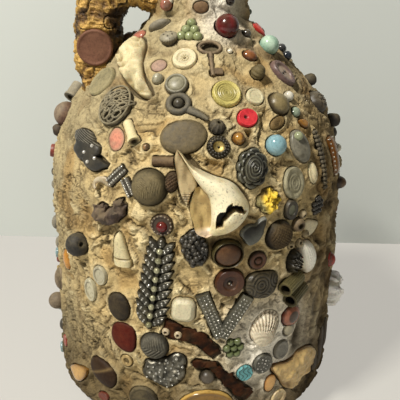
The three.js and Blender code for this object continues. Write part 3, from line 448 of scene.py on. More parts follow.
def bored(radius, bore, ribs=0, sides=40):
    """A bead with a hole: a half-round section from bore to bore turned about the hole, its outside
    drawn in and out by a cosine for each rib."""
    bend = np.linspace(-1, 1, 15) * 1.35
    section = np.stack([bore + (radius - bore) * np.cos(bend), radius * 0.86 * np.sin(bend)], -1)
    core = np.stack([np.full(6, bore), np.linspace(0.8, -0.8, 6) * radius], -1)
    points, *rest = spun(np.concatenate([section, core]), sides, joined=True)
    return fluted(points, ribs, 0.07) if ribs else points, *rest


for name, turn, height, radius, bore, middle, lean, sway, ribs, hue in BORED_BEADS:
    form = bored(radius, bore, ribs)
    # The bore counts as a hollow, which the wear group paints darker: painted shade.
    raised = step(np.hypot(*form[0][:, :2].T), bore * 1.02, bore * 1.5)
    form = turned(turned(form, "X", lean), "Y", sway, (0, 0, middle))
    press(name, [part(form, hue, fired_clay, raised)], turn, height)

# Domed buttons: moulded glass, plastic, leather and cord-wound buttons with a crowned face and an
# upright edge. Lines, plaits and petals are part of the face, so they are shaped, not painted. A row
# has the seat, the width, the length, the spin, the face, the colour, that of the hollows, the finish.
# The colour of the hollows is painted shade, laid in the grooves and round the edge.
moulded = finish("moulded_button", 0.38, 380, 0.35, 0.14, 0.0001, {"Specular IOR Level": 0.4})
wound_cord = finish("wound_cord", 0.7, 700, 0.4, 0.16, 0.0002, {"Specular IOR Level": 0.3})


def oblong(width, length, power=2.0):
    """An outline's reach by direction: ((|cos a|/half width)^p + (|sin a|/half length)^p)^(-1/p)."""
    def reach(angle):
        across, along = np.abs(np.cos(angle)) * 2 / width, np.abs(np.sin(angle)) * 2 / length
        return (across ** power + along ** power) ** (-1 / power)
    return reach


def crown(height, edge=0.5, power=2.0):
    """A face's height: edge + (height - edge) * sqrt(1 - share^p), with share 0 in the middle."""
    def face(share, angle, x, y):
        return edge + (height - edge) * np.sqrt(np.clip(1 - share ** power, 0, 1))
    return face


def pressed(reach, face, rings=16, spokes=48, depth=2.4):
    """A piece set in the putty: rings at a share of the outline's reach in every direction, at the
    height that its face has there, then down the upright edge to the depth."""
    share = np.sin(np.linspace(0.04, 1, rings) * np.pi / 2)[:, None]
    angle = np.arange(spokes) / spokes * 2 * np.pi
    x, y = (share * reach(angle) * way(angle) for way in (np.cos, np.sin))
    top = np.stack([x, y, face(share + 0 * angle, angle + 0 * share, x, y)], -1)
    edge = np.stack([x[-1] * 0.98, y[-1] * 0.98, np.full(spokes, -depth)], -1)
    return skinned(np.concatenate([top, edge[None]]), np.append(share, 1.0)[:, None], angle)


def lined(height, pitch, deep):
    """A crowned face with parallel threads: a cosine across, on two fields that meet at a slant."""
    def face(share, angle, x, y):
        slant = np.where(y > 0.35 * x, x + 0.8 * y, 0.5 * y - x)
        return crown(height)(share, angle, x, y) + deep * np.cos(slant * 2 * np.pi / pitch) * (1 - share ** 6)
    return face


def plaited(height, pitch, deep):
    """A crowned face plaited over and under: the product of two cosines, set on the slant."""
    def face(share, angle, x, y):
        weave = np.cos((x + y) * np.pi / pitch) * np.cos((x - y) * np.pi / pitch)
        return crown(height)(share, angle, x, y) + deep * np.abs(weave) ** 0.6
    return face


def rimmed(height, ring, groove):
    """A low dome inside a raised rim: a crown out to the ring, a groove there, then a rounded rim."""
    def face(share, angle, x, y):
        inner = np.sqrt(np.clip(1 - (share / ring) ** 2, 0, 1))
        rim = np.sqrt(np.clip(1 - ((share - (1 + ring) / 2) / (1 - ring) * 2) ** 2, 0, 1))
        return height * np.where(share < ring, 1 - groove + groove * inner, 1 - groove + 0.7 * groove * rim)
    return face


def petalled(height, petals, deep):
    """A crowned face carved into petals: a cosine round it in each of three tiers, turned by half."""
    def face(share, angle, x, y):
        tier = np.floor(share * 2.999)
        lobe = np.cos(petals * angle + tier * np.pi)
        within = share * 3 - tier
        return crown(height)(share, angle, x, y) + deep * (lobe * 0.5 - within ** 3) * (share > 0.12)
    return face


DOMES = (
    ("glass_dome_button", -10.4, 217.9, 13.2, 13.2, 0, rimmed(4.6, 0.72, 0.4), "85826e", "4d4b42", moulded),
    ("grey_lined_dome", -15.7, 166.0, 20.6, 20.6, 20, lined(10.0, 1.3, 0.22), "665b40", "2e2818", wound_cord),
    ("woven_dome_button", 30.5, 135.7, 18, 18, 15, plaited(7.4, 2.0, 0.7), "3f3018", "140e06", wound_cord),
    ("rimmed_brown_dome", 11.4, 128.3, 18.4, 16.4, 0, rimmed(5.8, 0.88, 0.55), "54341a", "231c10", moulded),
    ("agate_dome", 39, 77.9, 15.4, 14.4, 0, crown(4.2), "6d4430", "2a1a14", marble_glass),
    ("ribbed_dark_dome", -13.7, 65.9, 17.6, 17.6, -25, lined(6.6, 1.9, 0.35), "57544a", "1d1c19", wound_cord),
    ("carved_dark_dome", 73, 201.4, 15.6, 15.6, 0, petalled(6.2, 6, 0.9), "524b40", "262019", moulded),
    ("left_knob", -80.4, 188.6, 16.4, 16.4, 0, crown(8.5), "7b6a5a", "4d2a24", fired_clay),
    ("back_dome_button", 118, 135.1, 20, 20, 0, rimmed(6, 0.7, 0.5), "4f3521", "2b1c10", moulded),
    ("back_pearl_dome", 172, 189.3, 17, 17, 0, crown(5), "cfc4ae", "a3957c", marble_glass),
    ("bronze_half_dome", 39.5, 207, 14, 14, 0, crown(6.2), "7d6f4c", "3a3120", moulded),
    ("small_brown_button", 22.4, 122, 11.4, 11.4, 0, rimmed(3.6, 0.42, 0.5), "4d2814", "241207", moulded),
    ("clear_low_dome", 38, 69, 9, 9, 0, crown(3.8), "948c76", "5a5442", marble_glass),
    ("right_brown_knob", 74, 150, 8.6, 8.6, 0, crown(6), "604a32", "33251a", moulded),
    ("dark_low_bead", 5.6, 46, 9, 9, 0, crown(5), "463f38", "241f1a", moulded),
    ("green_glass_chip", 47.8, 201.5, 7.4, 6.4, 20, crown(3.2), "8d9b86", "5d6b58", marble_glass),
    ("amber_oval_bead", 37, 232, 9.4, 7.6, -20, crown(4), "85512e", "4c2a16", marble_glass),
)
for name, turn, height, width, length, spin, face, hue, low_hue, material in DOMES:
    form = pressed(oblong(width, length), face, 30, 72)
    smooth = crown(form[0][:, 2].max())(form[2], 0, 0, 0)
    # Grooves count as hollows and, with the outer edge, take the colour of the hollows: painted shade.
    raised = 1 - step(smooth - form[0][:, 2], 0.2, 1.1) * (form[2] < 0.97)
    tone = mixed(hue, low_hue, np.maximum(step(form[2], 0.75, 1.0), 1 - raised))
    if name == "agate_dome":
        tone = mixed(mixed("38231a", "8f5640", step(form[2], 0.46, 0.6)), "4d2418", step(form[2], 0.8, 0.98))
    # The groove round the brown dome's middle is painted near black: painted shade.
    if name == "rimmed_brown_dome":
        tone = mixed(mixed("4d3018", "21180c", step(form[2], 0.7, 0.88)), "4a4226", step(form[2], 0.89, 0.95))
    press(name, [part(form, tone, material, raised)], turn, height, spin)

# The boot button stands on its shank: a grey crowned top with five small holes over a dark ribbed
# skirt. It is one pressed shell of horn. The holes are small black beads: painted shade.
BOOT_SECTION = (
    (2.8, -2.4), (4.2, 0.2), (5.2, 2.4), (5.6, 3.4), (5.2, 4.2), (3.8, 5.2), (2.0, 5.8), (0.6, 6.0))
BOOT_LEAN = -18
horn = finish("horn", 0.42, 420, 0.4, 0.16, 0.00015, {"Specular IOR Level": 0.35})


def ringed(count, far, high):
    """Places evenly round a ring: (far cos a, far sin a, high)."""
    angle = np.arange(count) / count * 2 * np.pi
    return np.stack([far * np.cos(angle), far * np.sin(angle), np.full(count, high)], -1)


def beads(places, radius, sides=7, rows=4):
    """Small round beads: one ball of few faces, copied to every place at its own radius."""
    t = np.linspace(0.2, np.pi - 0.2, rows)
    base, faces, along, around = spun(np.stack([np.sin(t), np.cos(t)], -1), sides)
    places = np.atleast_2d(np.array(places, float))
    size = np.broadcast_to(radius, len(places))[:, None, None]
    points = (places[:, None] + base * size).reshape(-1, 3)
    faces = (faces + (np.arange(len(places)) * len(base))[:, None, None]).reshape(-1, 3)
    return points, faces, np.tile(along, len(places)), np.tile(around, len(places))


skirt, *skirt_rest = spun(BOOT_SECTION, 44)
skirt = fluted(skirt, 22, 0.05, skirt[:, 2] < 3.6)
skirt_hue = mixed("3a342c", "8a8574", step(skirt[:, 2], 3.2, 4.2))
press("boot_button", [
    part(turned((skirt, *skirt_rest), "X", BOOT_LEAN), skirt_hue, horn),
    part(turned(beads(ringed(5, 2.6, 5.55), 0.62), "X", BOOT_LEAN), "1a1613", horn)], -24, 239.6)

# Flat buttons and discs: turned or moulded plates of bone, horn, brass and plastic, with a raised
# edge round a sunk face. They lie flat in the putty. Rows are as for the domes.
bone = finish("bone", 0.45, 420, 0.22, 0.35, 0.00012, {"Subsurface Weight": 0.05})
pearl = finish("pearl", 0.25, 240, 0.18, 0.3, 0.00004, {"Coat Weight": 0.4})
aged_brass = finish("aged_brass", 0.42, 420, 0.35, 0.35, 0.0001, {"Metallic": 0.7})


def dished(height, rim, dish, rings=0, deep=0.0, round_edge=0.1):
    """A flat face with a raised rim: full height out from the rim, sunk by the dish inside it with a
    short slope, with fine rings as a cosine of the share, and the outer edge rounded off."""
    def face(share, angle, x, y):
        sunk = dish * (1 - step(share, rim - 0.08, rim + 0.04))
        edge = 0.5 * height * np.clip((share - 1 + round_edge) / round_edge, 0, 1) ** 2
        return height - sunk - edge + deep * np.cos(share * rings * 2 * np.pi) * (share < 0.96)
    return face


def bell(value, middle, width):
    """A bell curve: exp(-((value - middle) / width)^2)."""
    return np.exp(-((value - middle) / width) ** 2)


DISCS = (
    ("cream_ring_button", -8.6, 230.9, 14.4, 14.4, 0, dished(2.8, 0.62, 0.6), "e0d2aa", "b8a67e", bone),
    ("khaki_disc", -58, 214.1, 20.6, 20.6, 0, dished(2.4, 0.86, 0.6), "8f875f", "6f6848", fired_clay),
    ("yellow_disc", 14, 214.1, 17, 17, 0, dished(3.0, 0.74, 0.6, 7, 0.14), "d6c87a", "a3965a", moulded),
    ("red_button", 21.3, 201.9, 12.4, 10.8, 20, dished(2.9, 0.85, 0.12), "cf2f3a", "8e1720", moulded),
    ("brown_hole_button", 12.5, 109.9, 17.6, 17.6, 0, dished(3.8, 0.5, 0.9), "41200f", "2b1207", moulded),
    ("back_rimmed_disc", 150, 85.6, 22, 22, 0, dished(3.0, 0.8, 0.8), "83703f", "4c3f22", aged_brass),
    ("cream_flat_disc", 28, 212, 10.6, 10.6, 0, dished(2.2, 0.7, 0.3), "cfc49f", "94855f", bone),
    ("dark_foot_disc", -18, 26, 19, 18, 0, dished(2.8, 0.8, 0.5), "3a3222", "231c12", fired_clay),
    ("grey_right_disc", 35, 56, 11, 13, 0, dished(2.6, 0.7, 0.4), "77746a", "4d4a42", moulded),
    ("turquoise_button", 19.7, 46, 10.4, 10.4, 0, dished(2.6, 0.8, 0.3), "5a9a9e", "2f666b", moulded),
    ("eye_ring_button", 35, 150, 9.6, 12.4, 0, dished(3.2, 0.55, 1.2), "34302a", "a8ab92", moulded),
    ("eyelet_disc", -24.6, 51.3, 8, 8, 0, dished(2.0, 0.5, 1.0), "b29a6a", "4d3d26", aged_brass),
    ("left_foot_red_bit", -36, 17.5, 9, 6, 10, dished(2.0, 0.5, 0.2), "5d2216", "3a120c", moulded),
    ("left_edge_red_bit", -64.7, 36, 7, 9, 0, dished(2.0, 0.5, 0.2), "8a3a2c", "5a221a", moulded),
    ("garnet_plate", -11, 145, 12.6, 12.6, 0, dished(2.6, 0.8, 0.6), "3a2c24", "1f1712", moulded),
    ("sparkly_disc", 27, 50, 13.4, 13.4, 0, dished(2.6, 0.84, 0.4), "4a4a44", "2c2b27", moulded),
)
for name, turn, height, width, length, spin, face, hue, low_hue, material in DISCS:
    form = pressed(oblong(width, length), face, 34, 64)
    x, y, z = form[0].T
    # The sunk face counts as a hollow: the wear group darkens it as painted shade, and it takes the second
    # colour, which is painted shade on most discs and the pale centre of the eye ring button.
    raised = 1 - 0.8 * step(z.max() - z, 0.25, 1.4) * (form[2] < 0.93)
    tone = mixed(hue, low_hue, 1 - raised)
    extra = []
    if name == "cream_ring_button":
        # A dark ring round the middle beads: painted shade.
        raised = raised * (1 - 0.8 * bell(form[2], 0.3, 0.05))
        extra = [
            part(beads(ringed(8, 1.9, 1.9), 0.75), "d6c698", bone),
            part(beads((0, 0, 1.9), 1.1), "8f7c52", bone)]
    if name == "yellow_disc":
        weave = np.cos(np.arctan2(y, x) * 40) * (form[2] > 0.3)
        tone = mixed(tone, "9c8f48", 0.5 + 0.5 * weave * np.cos(form[2] * 44))
    if name == "red_button":
        # The hole is painted dark: painted shade.
        hole = np.exp(-(((x + 1.2) ** 2 + (y - 0.6) ** 2) / 0.9))
        form[0][:, 2] -= 1.4 * hole * (z > 1)
        tone = mixed(tone, "3a0a0e", hole * 1.4)
    if name == "turquoise_button":
        curl = np.abs(np.sin(x * 1.1 + 1.6 * np.sin(y * 0.9)))
        tone = mixed("0c2629", tone, step(curl, 0.16, 0.5))
    if name == "brown_hole_button":
        # The hole is painted near black as painted shade, and a small white bead in it stands in for its
        # highlight: painted highlight.
        hole = step(form[2], 0.24, 0.1)
        form[0][:, 2] -= 1.6 * hole
        tone = mixed(tone, "120804", hole)
        raised = np.maximum(raised, 0.9)
        extra = [part(beads((-0.4, -0.5, 1.6), 0.9), "c9bca4", pearl)]
    if name == "garnet_plate":
        extra = [
            part(beads(ringed(16, 5.6, 2.2), 0.7), "857a68", marble_glass),
            part(turned(ball(3.3, 18), at=(0.2, -0.8, 1.6)), "5d0c12", marble_glass)]
    if name == "sparkly_disc":
        order = np.arange(16)
        far = 5.4 * np.sqrt((order + 0.5) / 16)
        place = np.stack([far * np.cos(order * 2.4), far * np.sin(order * 2.4), np.full(16, 2.2)], -1)
        extra = [part(beads(place, 0.4 + 0.25 * (order % 3 == 0)), "a19e96", marble_glass)]
    press(name, [part(form, tone, material, raised), *extra], turn, height, spin)

# The mauve chip is a flat disc of dull plastic, set upright in the front of the handle's crust. Its
# place is told in thousandths of the way along the handle.
CHIP_WIDTH, CHIP_FRONT, CHIP_ALONG = 22.8, -17, 738
dull_plastic = finish("dull_plastic", 0.6, 420, 0.3, 0.1, 0.0002, {"Specular IOR Level": 0.15})
chip_form = pressed(oblong(CHIP_WIDTH, CHIP_WIDTH), dished(2.6, 0.85, 0.4), 24, 64)
chip_hue = mixed("775242", "5c3d2f", clouds(chip_form[0], 6, 3))
chip_point = bezier(HANDLE_ENDS, 1001)[CHIP_ALONG]
chip_form = turned(chip_form, "X", 90, (chip_point[0], CHIP_FRONT, chip_point[2]))
piece("mauve_chip", [part(chip_form, chip_hue, dull_plastic)])

# The beaded rosette is a jeweller's button: a pale brass dish with a hole, in two rings of dark beads.
# It lies above the whelk, beside the grey oval stone.
ROSETTE_SECTION = (
    (6.0, -2.4), (6.2, 1.6), (5.0, 2.6), (4.0, 2.9), (3.3, 2.7), (2.8, 1.9), (1.8, 1.3), (0.7, 1.0))
rosette = spun(ROSETTE_SECTION, 40)
rosette_hue = mixed("c4ad6a", "2b261d", step(np.hypot(*rosette[0][:, :2].T), 2.9, 3.3))
# The hole in the dish is a small black bead: painted shade.
press("beaded_rosette", [
    part(rosette, rosette_hue, aged_brass), part(beads((0, 0, 1.0), 0.8), "17120d", moulded),
    part(beads(ringed(20, 5.5, 2.1), 0.85, 8, 5), "2a2720", moulded),
    part(beads(ringed(15, 4.1, 2.9), 0.85, 8, 5), "2a2720", moulded)], 8.2, 188.3)

# Oval stones and buttons: slate, horn, shell and glass ovals with a low crown, picked up or cut.
# They lie at all slants, and each has the grain or frame of its own kind. Rows are as for the domes.
slate = finish("slate", 0.55, 420, 0.35, 0.2, 0.0003, {"Specular IOR Level": 0.3})
OVALS = (
    ("grey_oval_stone", -4.8, 193, 19, 26, -78, crown(3.2, 1.6, 6), "564a32", "3d3526", slate),
    ("grey_oval_disc", 43, 184.1, 14, 20, 8, crown(3.6, 1.2, 3), "7b7768", "55503f", moulded),
    ("swirl_oval_button", 36.5, 165.4, 15, 19, 0, dished(2.9, 0.8, 0.5, 4, 0.16), "8d8870", "5c573f", horn),
    ("framed_pearl_button", 55, 221, 14, 19, 15, dished(3.4, 0.66, 1.2), "6b5550", "a4917f", moulded),
    ("dark_brown_oval", -27.6, 87.4, 15, 18, 12, crown(3.8, 0.8, 2.4), "2a2012", "140e07", wound_cord),
    ("ochre_oval", 5.4, 22.6, 28, 36, 90, dished(3.8, 0.9, 0.7), "7f5c22", "5d441c", marble_glass),
    ("back_oval_stone", -152, 91.7, 17, 24, -40, crown(4.5, 1.0, 2.6), "8a7c66", "5d5242", slate),
    ("grey_pod", -43, 247, 15, 6, 34, crown(5), "75726a", "4a473c", slate),
    ("pink_glass_patch", -24, 227, 9.4, 8.4, 10, crown(1.6), "a88076", "94806a", fired_clay),
    ("pink_red_chip", -62, 240, 11, 8.4, 30, crown(2.8), "c0574c", "7d2a26", marble_glass),
    ("ivory_long_bead", 47, 168, 6.4, 13.4, 4, crown(3.8), "d8c9a2", "8d7c55", bone),
    ("knotted_bead", -8, 170, 7.4, 11.4, -8, plaited(4.6, 2.2, 0.9), "4f3a26", "1f150c", wound_cord),
    ("amber_left_shard", -58, 102, 8.4, 13.6, 14, crown(3), "b0782c", "6d4416", marble_glass),
    ("left_edge_lump", -69, 80, 10.6, 16.4, 0, crown(5), "857560", "584a38", fired_clay),
    ("pearl_oval_upper", -35.8, 104.6, 10.4, 12.6, 6, dished(2.6, 0.7, 0.6), "a39e86", "7a735c", pearl),
    ("pearl_oval_lower", -41, 92, 9.4, 15.4, 10, dished(2.6, 0.7, 0.6), "aea88c", "857d63", pearl),
    ("black_rough_lump", 38, 116, 10.6, 15.4, 0, petalled(7.4, 7, 2.4), "26241f", "0c0b09", moulded),
    ("right_red_bead", 68, 99, 7.2, 10.6, 0, crown(5), "9c2f28", "541410", marble_glass),
    ("seed_pod_leaf", 35, 198, 12.6, 6.4, 24, lined(2.6, 1.4, 0.2), "7a6238", "3d2e16", wound_cord),
    ("neck_brown_patch", 1.8, 259.5, 9, 7, 0, crown(1.8, 0.4, 3), "6d5138", "3d2c1c", fired_clay),
    ("ring_shell", 35.2, 20.8, 12, 11, 0, dished(2.6, 0.5, 1.0), "c4ad82", "735a34", bone),
)
for name, turn, height, width, length, spin, face, hue, low_hue, material in OVALS:
    form = pressed(oblong(width, length), face, 32, 72)
    x, y, z = form[0].T
    # Low places take the second colour and the wear group darkens them: painted shade. The patches are the
    # stones' own.
    raised = 1 - 0.7 * step(z.max() - z, 0.5, 3.0) * (form[2] < 0.96)
    patch = 0.6 * step(clouds(form[0], 2.6, len(name)), 0.55, 0.9)
    tone = mixed(hue, low_hue, np.maximum(0.7 * (1 - raised), patch))
    extra = []
    if name == "grey_oval_disc":
        extra = [part(turned(ball(2.7, 18), at=(-1.4, 6.2, 3.6)), "8d9474", marble_glass)]
    if name == "framed_pearl_button":
        tone = mixed("a4917f", hue, step(form[2], 0.56, 0.66))
        # Two dark beads for the holes: painted shade.
        extra = [part(beads([(-1.5, 0, 2.25), (1.5, 0, 2.25)], 0.8), "2a201c", moulded)]
    if name == "ochre_oval":
        # A paler line round the rim: painted highlight.
        tone = mixed(tone, "b5934f", step(form[2], 0.93, 0.98))
    if name.startswith("pearl_oval"):
        # A dark ring in the groove round the dish: painted shade.
        raised = 1 - 0.8 * bell(form[2], 0.68, 0.07)
    stiff = max(width, length) <= 22
    press(name, [part(form, tone, material, raised), *extra], turn, height, spin, wrap=not stiff)

# Whelk: a cream sea snail's shell lying on its side. Its long canal points to the upper left, its
# outer lip is broken to a thin brown blade, the hollow mouth lies between them, and the round body
# is broken through at the lower right. The shell is smooth with black specks.
WHELK_INNER = (
    (-17.1, 27.4), (-15.5, 25), (-12.1, 19.6), (-8.2, 12.4), (-3.6, 6.5), (0.3, 2.3), (1.5, -3.6),
    (1.8, -10.3), (1.4, -16.5), (-1, -20.8))
WHELK_OUTER = (
    (-17.1, 27.4), (-15, 26), (-12, 22.2), (-8.8, 18), (-2.7, 15.6), (3.1, 13), (9.5, 11.4), (15.2, 8.4),
    (19.7, 2.8), (23.2, -2.7), (22.4, -8.4), (17.8, -14.9), (12, -18.8), (5.6, -20.6), (-1, -20.8))
BLADE_LEFT = (
    (-17.4, 27.6), (-19, 23.4), (-18.3, 18.4), (-17.2, 11.8), (-16.3, 6), (-14.6, 0.6), (-12.1, -3.7))
BLADE_RIGHT = (
    (-17.4, 27.6), (-15.4, 24.6), (-11.4, 18.6), (-7.2, 11.6), (-6, 7.6), (-8, 5), (-9.6, 4), (-10.6, -0.2),
    (-12.1, -3.7))
MOUTH_LEFT = ((-7, 7), (-9, 2), (-10.6, -4), (-9.6, -9.6), (-8, -13.6), (-7.6, -17.6), (-5, -20), (-1, -21))
MOUTH_RIGHT = ((-3, 7), (1.6, 3), (4, -3), (4.6, -9), (4.6, -14), (4, -17), (2, -20), (-1, -21))
WHELK_BREAK = (
    (2.6, -11.4), (5.2, -6), (9, -4), (10.8, 0.4), (13.4, -1.4), (17.2, -1.2), (20.3, -5), (19.2, -6.8),
    (15.8, -5.2), (12.6, -5.2), (10.7, -8.6), (8.8, -10), (8.2, -13.6), (4.6, -15.8))


def rounded(corners, times=2, closed=True):
    """Corners cut again and again: each side gives the points a quarter and three quarters along. An
    open line keeps its two ends."""
    line = np.array(corners, float)
    for _ in range(times):
        after = np.roll(line, -1, 0)
        cut = np.stack([0.75 * line + 0.25 * after, 0.25 * line + 0.75 * after], 1)
        if closed:
            line = cut.reshape(-1, line.shape[1])
        else:
            line = np.concatenate([line[:1], cut[:-1].reshape(-1, line.shape[1]), line[-1:]])
    return line


def traced(corners, face, rings=16, spokes=64, depth=2.4, soft=2):
    """A pressed piece cut to an outline: seen from the middle of its corners, the outline's reach
    in each direction is read between the corners. The face is given points in the outline's own place."""
    line = rounded(corners, soft)
    middle = np.array(corners, float).mean(0)
    way = np.arctan2(*(line - middle).T[::-1])
    far = np.hypot(*(line - middle).T)
    shape = pressed(
        lambda angle: np.interp(angle, way, far, period=2 * np.pi),
        lambda share, angle, x, y: face(share, angle, x + middle[0], y + middle[1]), rings, spokes, depth)
    return (shape[0] + (*middle, 0), *shape[1:])


def within(x, y, corners):
    """How far a point lies inside an outline: the distance to its nearest side, less than zero when
    outside, which is told by how often a level ray crosses the sides."""
    near = np.full(np.shape(x), 1e9)
    odd = np.zeros(np.shape(x), bool)
    corners = np.array(corners, float)
    for (ax, ay), (bx, by) in zip(corners, np.roll(corners, -1, 0)):
        t = np.clip(((x - ax) * (bx - ax) + (y - ay) * (by - ay)) / ((bx - ax) ** 2 + (by - ay) ** 2), 0, 1)
        near = np.minimum(near, np.hypot(x - ax - t * (bx - ax), y - ay - t * (by - ay)))
        odd ^= ((ay > y) != (by > y)) & (x < ax + (bx - ax) * (y - ay) / (by - ay + 1e-12))
    return np.where(odd, near, -near)


def strung(left, right, face, rows, columns, depth):
    """A piece between two edges: each row runs from a point of the left edge to the point as far along
    the right one, at the height that its face gives by the way along, the share across and the width
    there, and comes back along the underside."""
    way = np.linspace(0, 1, rows)
    edges = []
    for line in (rounded(left, 3, closed=False), rounded(right, 3, closed=False)):
        run = np.append(0, np.hypot(*np.diff(line, axis=0).T).cumsum())
        edges.append(np.stack([np.interp(way * run[-1], run, line[:, k]) for k in (0, 1)], -1)[:, None])
    share = 0.5 - 0.5 * np.cos(np.linspace(0, np.pi, columns))
    flat = edges[0] * (1 - share[:, None]) + edges[1] * share[:, None]
    width = np.linalg.norm(edges[1] - edges[0], axis=-1)
    top = np.concatenate([flat, face(way[:, None], share, width, flat[..., 0], flat[..., 1])[..., None]], -1)
    under = np.insert(flat[:, ::-6], 2, -depth, -1)
    return skinned(np.concatenate([top, under], 1), way[:, None], np.append(share, share[::-6]))


def arch(share, power):
    """An arch over the width from 0 to 1: (4 s (1 - s))^p, which is 1 in the middle."""
    return np.clip(4 * share * (1 - share), 0, 1) ** power


def flat_clouds(x, y, size, seed):
    """The same noise as clouds, read on a flat face."""
    return clouds(np.stack([x, y, 0 * x], -1), size, seed)


ragged = rounded(WHELK_BREAK, 1)
order = np.arange(len(ragged))
ragged = ragged + 0.6 * np.stack([np.cos(order * 2.1), np.sin(order * 3.3)], -1)


def whelk_face(way, share, width, x, y):
    """A body as round as it is wide, steep at the inner lip, sunk deep inside the broken hole."""
    high = 14.0 * (1 - np.exp(-width / 9)) * (1 - 0.75 * way ** 7)
    body = 1.6 + high * arch(share, 0.36 + 0.2 * share)
    return body - step(within(x, y, ragged), -0.15, 0.6) * body * 0.9


def blade_face(way, share, width, x, y):
    """A thin blade, a little hollow along its middle, with fine cross lines towards the point."""
    lines = 0.25 * np.cos(y * 5.0) * step(way, 0.72, 0.8)
    return 4.6 * arch(share, 0.3) - 1.6 * np.sin(np.pi * share) * step(width, 2, 6) + lines


def mouth_face(way, share, width, x, y):
    """The inside of the mouth: hollow across, with low growth lines along it and a raised lower lip."""
    growth = 0.8 * flat_clouds(x, y * 0.4, 2.2, 14)
    return 2.8 - 2.0 * np.sin(np.pi * share) + growth + 1.6 * step(way, 0.72, 0.84)


whelk_form = strung(WHELK_INNER, WHELK_OUTER, whelk_face, 150, 110, 5.0)
blade_form = strung(BLADE_LEFT, BLADE_RIGHT, blade_face, 90, 24, 3.0)
mouth_form = strung(MOUTH_LEFT, MOUTH_RIGHT, mouth_face, 70, 36, 3.0)
in_break = step(within(*whelk_form[0][:, :2].T, ragged), 0.0, 0.5)
whelk_hue = mixed("eee4c2", "dccb9c", step(clouds(whelk_form[0], 7, 11), 0.45, 0.9))
whelk_hue = mixed(whelk_hue, "b39a68", 0.8 * step(-whelk_form[2], -0.34, -0.02))
whelk_hue = mixed(whelk_hue, "2a2218", step(clouds(whelk_form[0], 0.9, 12), 0.86, 0.93) * 0.8)
# The broken hole is painted near black, and the wear group darkens it too: painted shade.
whelk_hue = mixed(whelk_hue, "140d07", in_break)
blade_lines = step(blade_form[2], 0.74, 0.84) * (np.cos(blade_form[0][:, 1] * 5) < 0.2)
blade_hue = mixed("b5a078", "7d6a48", step(clouds(blade_form[0] * (1, 0.4, 1), 2.6, 13), 0.3, 0.75))
blade_hue = mixed(blade_hue, "4d4232", 0.7 * blade_lines)
mouth_hue = mixed("b89e68", "7f673c", step(clouds(mouth_form[0] * (1, 0.3, 0), 1.8, 15), 0.4, 0.9) * 0.7)
mouth_hue = mixed(mouth_hue, "c4ae94", step(mouth_form[2], 0.7, 0.84))
shell = finish("shell", 0.4, 300, 0.14, 0.12, 0.00008, {"Subsurface Weight": 0.04})
press("whelk_shell", [
    part(whelk_form, whelk_hue, shell, 1 - 0.6 * in_break), part(blade_form, blade_hue, shell),
    part(mouth_form, mouth_hue, shell)], 4.4, 161)

# Ribbed and scalloped shells: half shells of cockle and scallop, hinge down, their ribs fanned out
# from the hinge. The ochre one is a worn plate with a lobed edge, the mussel a dark folded half.
FANS = (
    ("cockle_shell", 27, 75.8, 18, 22.6, 6, 20, -24, "d6c9b0", "857258"),
    ("back_scallop", 168, 140, 28, 27, 6, 14, 10, "cfae90", "96694e"),
)


def ribbed(x, y, ribs, hinge, length):
    """A shell's ribs: a cosine for each in the angle seen from the hinge, growing towards the edge."""
    fade = step(np.hypot(x, y - hinge), length * 0.3, length * 0.56)
    return np.cos(np.arctan2(x, y - hinge) * ribs * 2.4) * fade


def fan(height, width, length, ribs, hinge):
    """A shell's face: its top drawn towards the hinge, with its ribs and fine growth lines across."""
    def face(share, angle, x, y):
        spread = np.hypot(x / width * 2, (y - hinge * 0.35) / length * 1.7)
        high = crown(height, 0.6)(np.clip(spread, 0, 1), 0, 0, 0)
        growth = 0.12 * np.cos(np.hypot(x, y - hinge) * 2.6)
        return high + 0.38 * ribbed(x, y, ribs, hinge, length) * (share < 0.99) + growth
    return face


for name, turn, height, width, length, tall, ribs, spin, hue, low_hue in FANS:
    hinge = -length / 2
    form = pressed(oblong(width, length, 2.2), fan(tall, width, length, ribs, hinge), 40, 120)
    x, y, z = form[0].T
    # The grooves between the ribs take the darker colour and the wear group darkens them: painted shade. The
    # growth rings are the shell's own.
    groove = -ribbed(x, y, ribs, hinge, length)
    rings = step(np.cos(np.hypot(x, y - hinge) * 0.9), 0.3, 1)
    tone = mixed(hue, low_hue, 0.65 * step(groove, 0.1, 0.9) + 0.3 * rings)
    press(name, [part(form, tone, shell, 1 - 0.3 * step(groove, 0.2, 1))], turn, height, spin)

OCHRE_OUTLINE = (
    (15, 9.3), (22.7, -5.5), (13.8, -5.6), (-1.1, -6.7), (-6.8, -12.6), (-15.1, -9.4), (-20, 0.6),
    (-28.4, 10.9), (-22.8, 11.8), (-12.4, 9.7), (-3.5, 15.3), (6, 14))


def ochre_face(share, angle, x, y):
    """A low crown under lumps of two sizes, the larger ones fading at the edge."""
    low = 2.6 * np.clip(1 - share ** 4, 0, 1) ** 0.5 + 0.6
    lumps = 3.4 * (flat_clouds(x, y, 6, 17) - 0.3) * (share < 0.96)
    return low + lumps + 1.2 * flat_clouds(x, y, 2.4, 18)


ochre_form = traced(OCHRE_OUTLINE, ochre_face, 44, 150)
# Darker in its low places: painted shade.
ochre_hue = mixed("c2a46c", "7a5c34", step(-ochre_form[0][:, 2], -4.4, -1))
press("ochre_shell", [part(ochre_form, ochre_hue, shell)], 46.5, 34.9, wrap=True)

MUSSEL_OUTLINE = (
    (-7.5, 10.4), (-10.1, 2.8), (-5.3, -4.7), (5.7, -8.4), (11.4, -4.5), (13.2, 4.2), (6.4, 9.6), (-0.2, 11.5))
mussel_form = traced(MUSSEL_OUTLINE, crown(4.2, 0.8, 2.4), 26, 72)
mussel_fold = bell(mussel_form[0][:, 1] - 0.5 * mussel_form[0][:, 0], 3.2, 1.0)
press("mussel", [part(mussel_form, mixed("2a190d", "75603e", mussel_fold * 0.7), dull_plastic)], -36.7, 34)

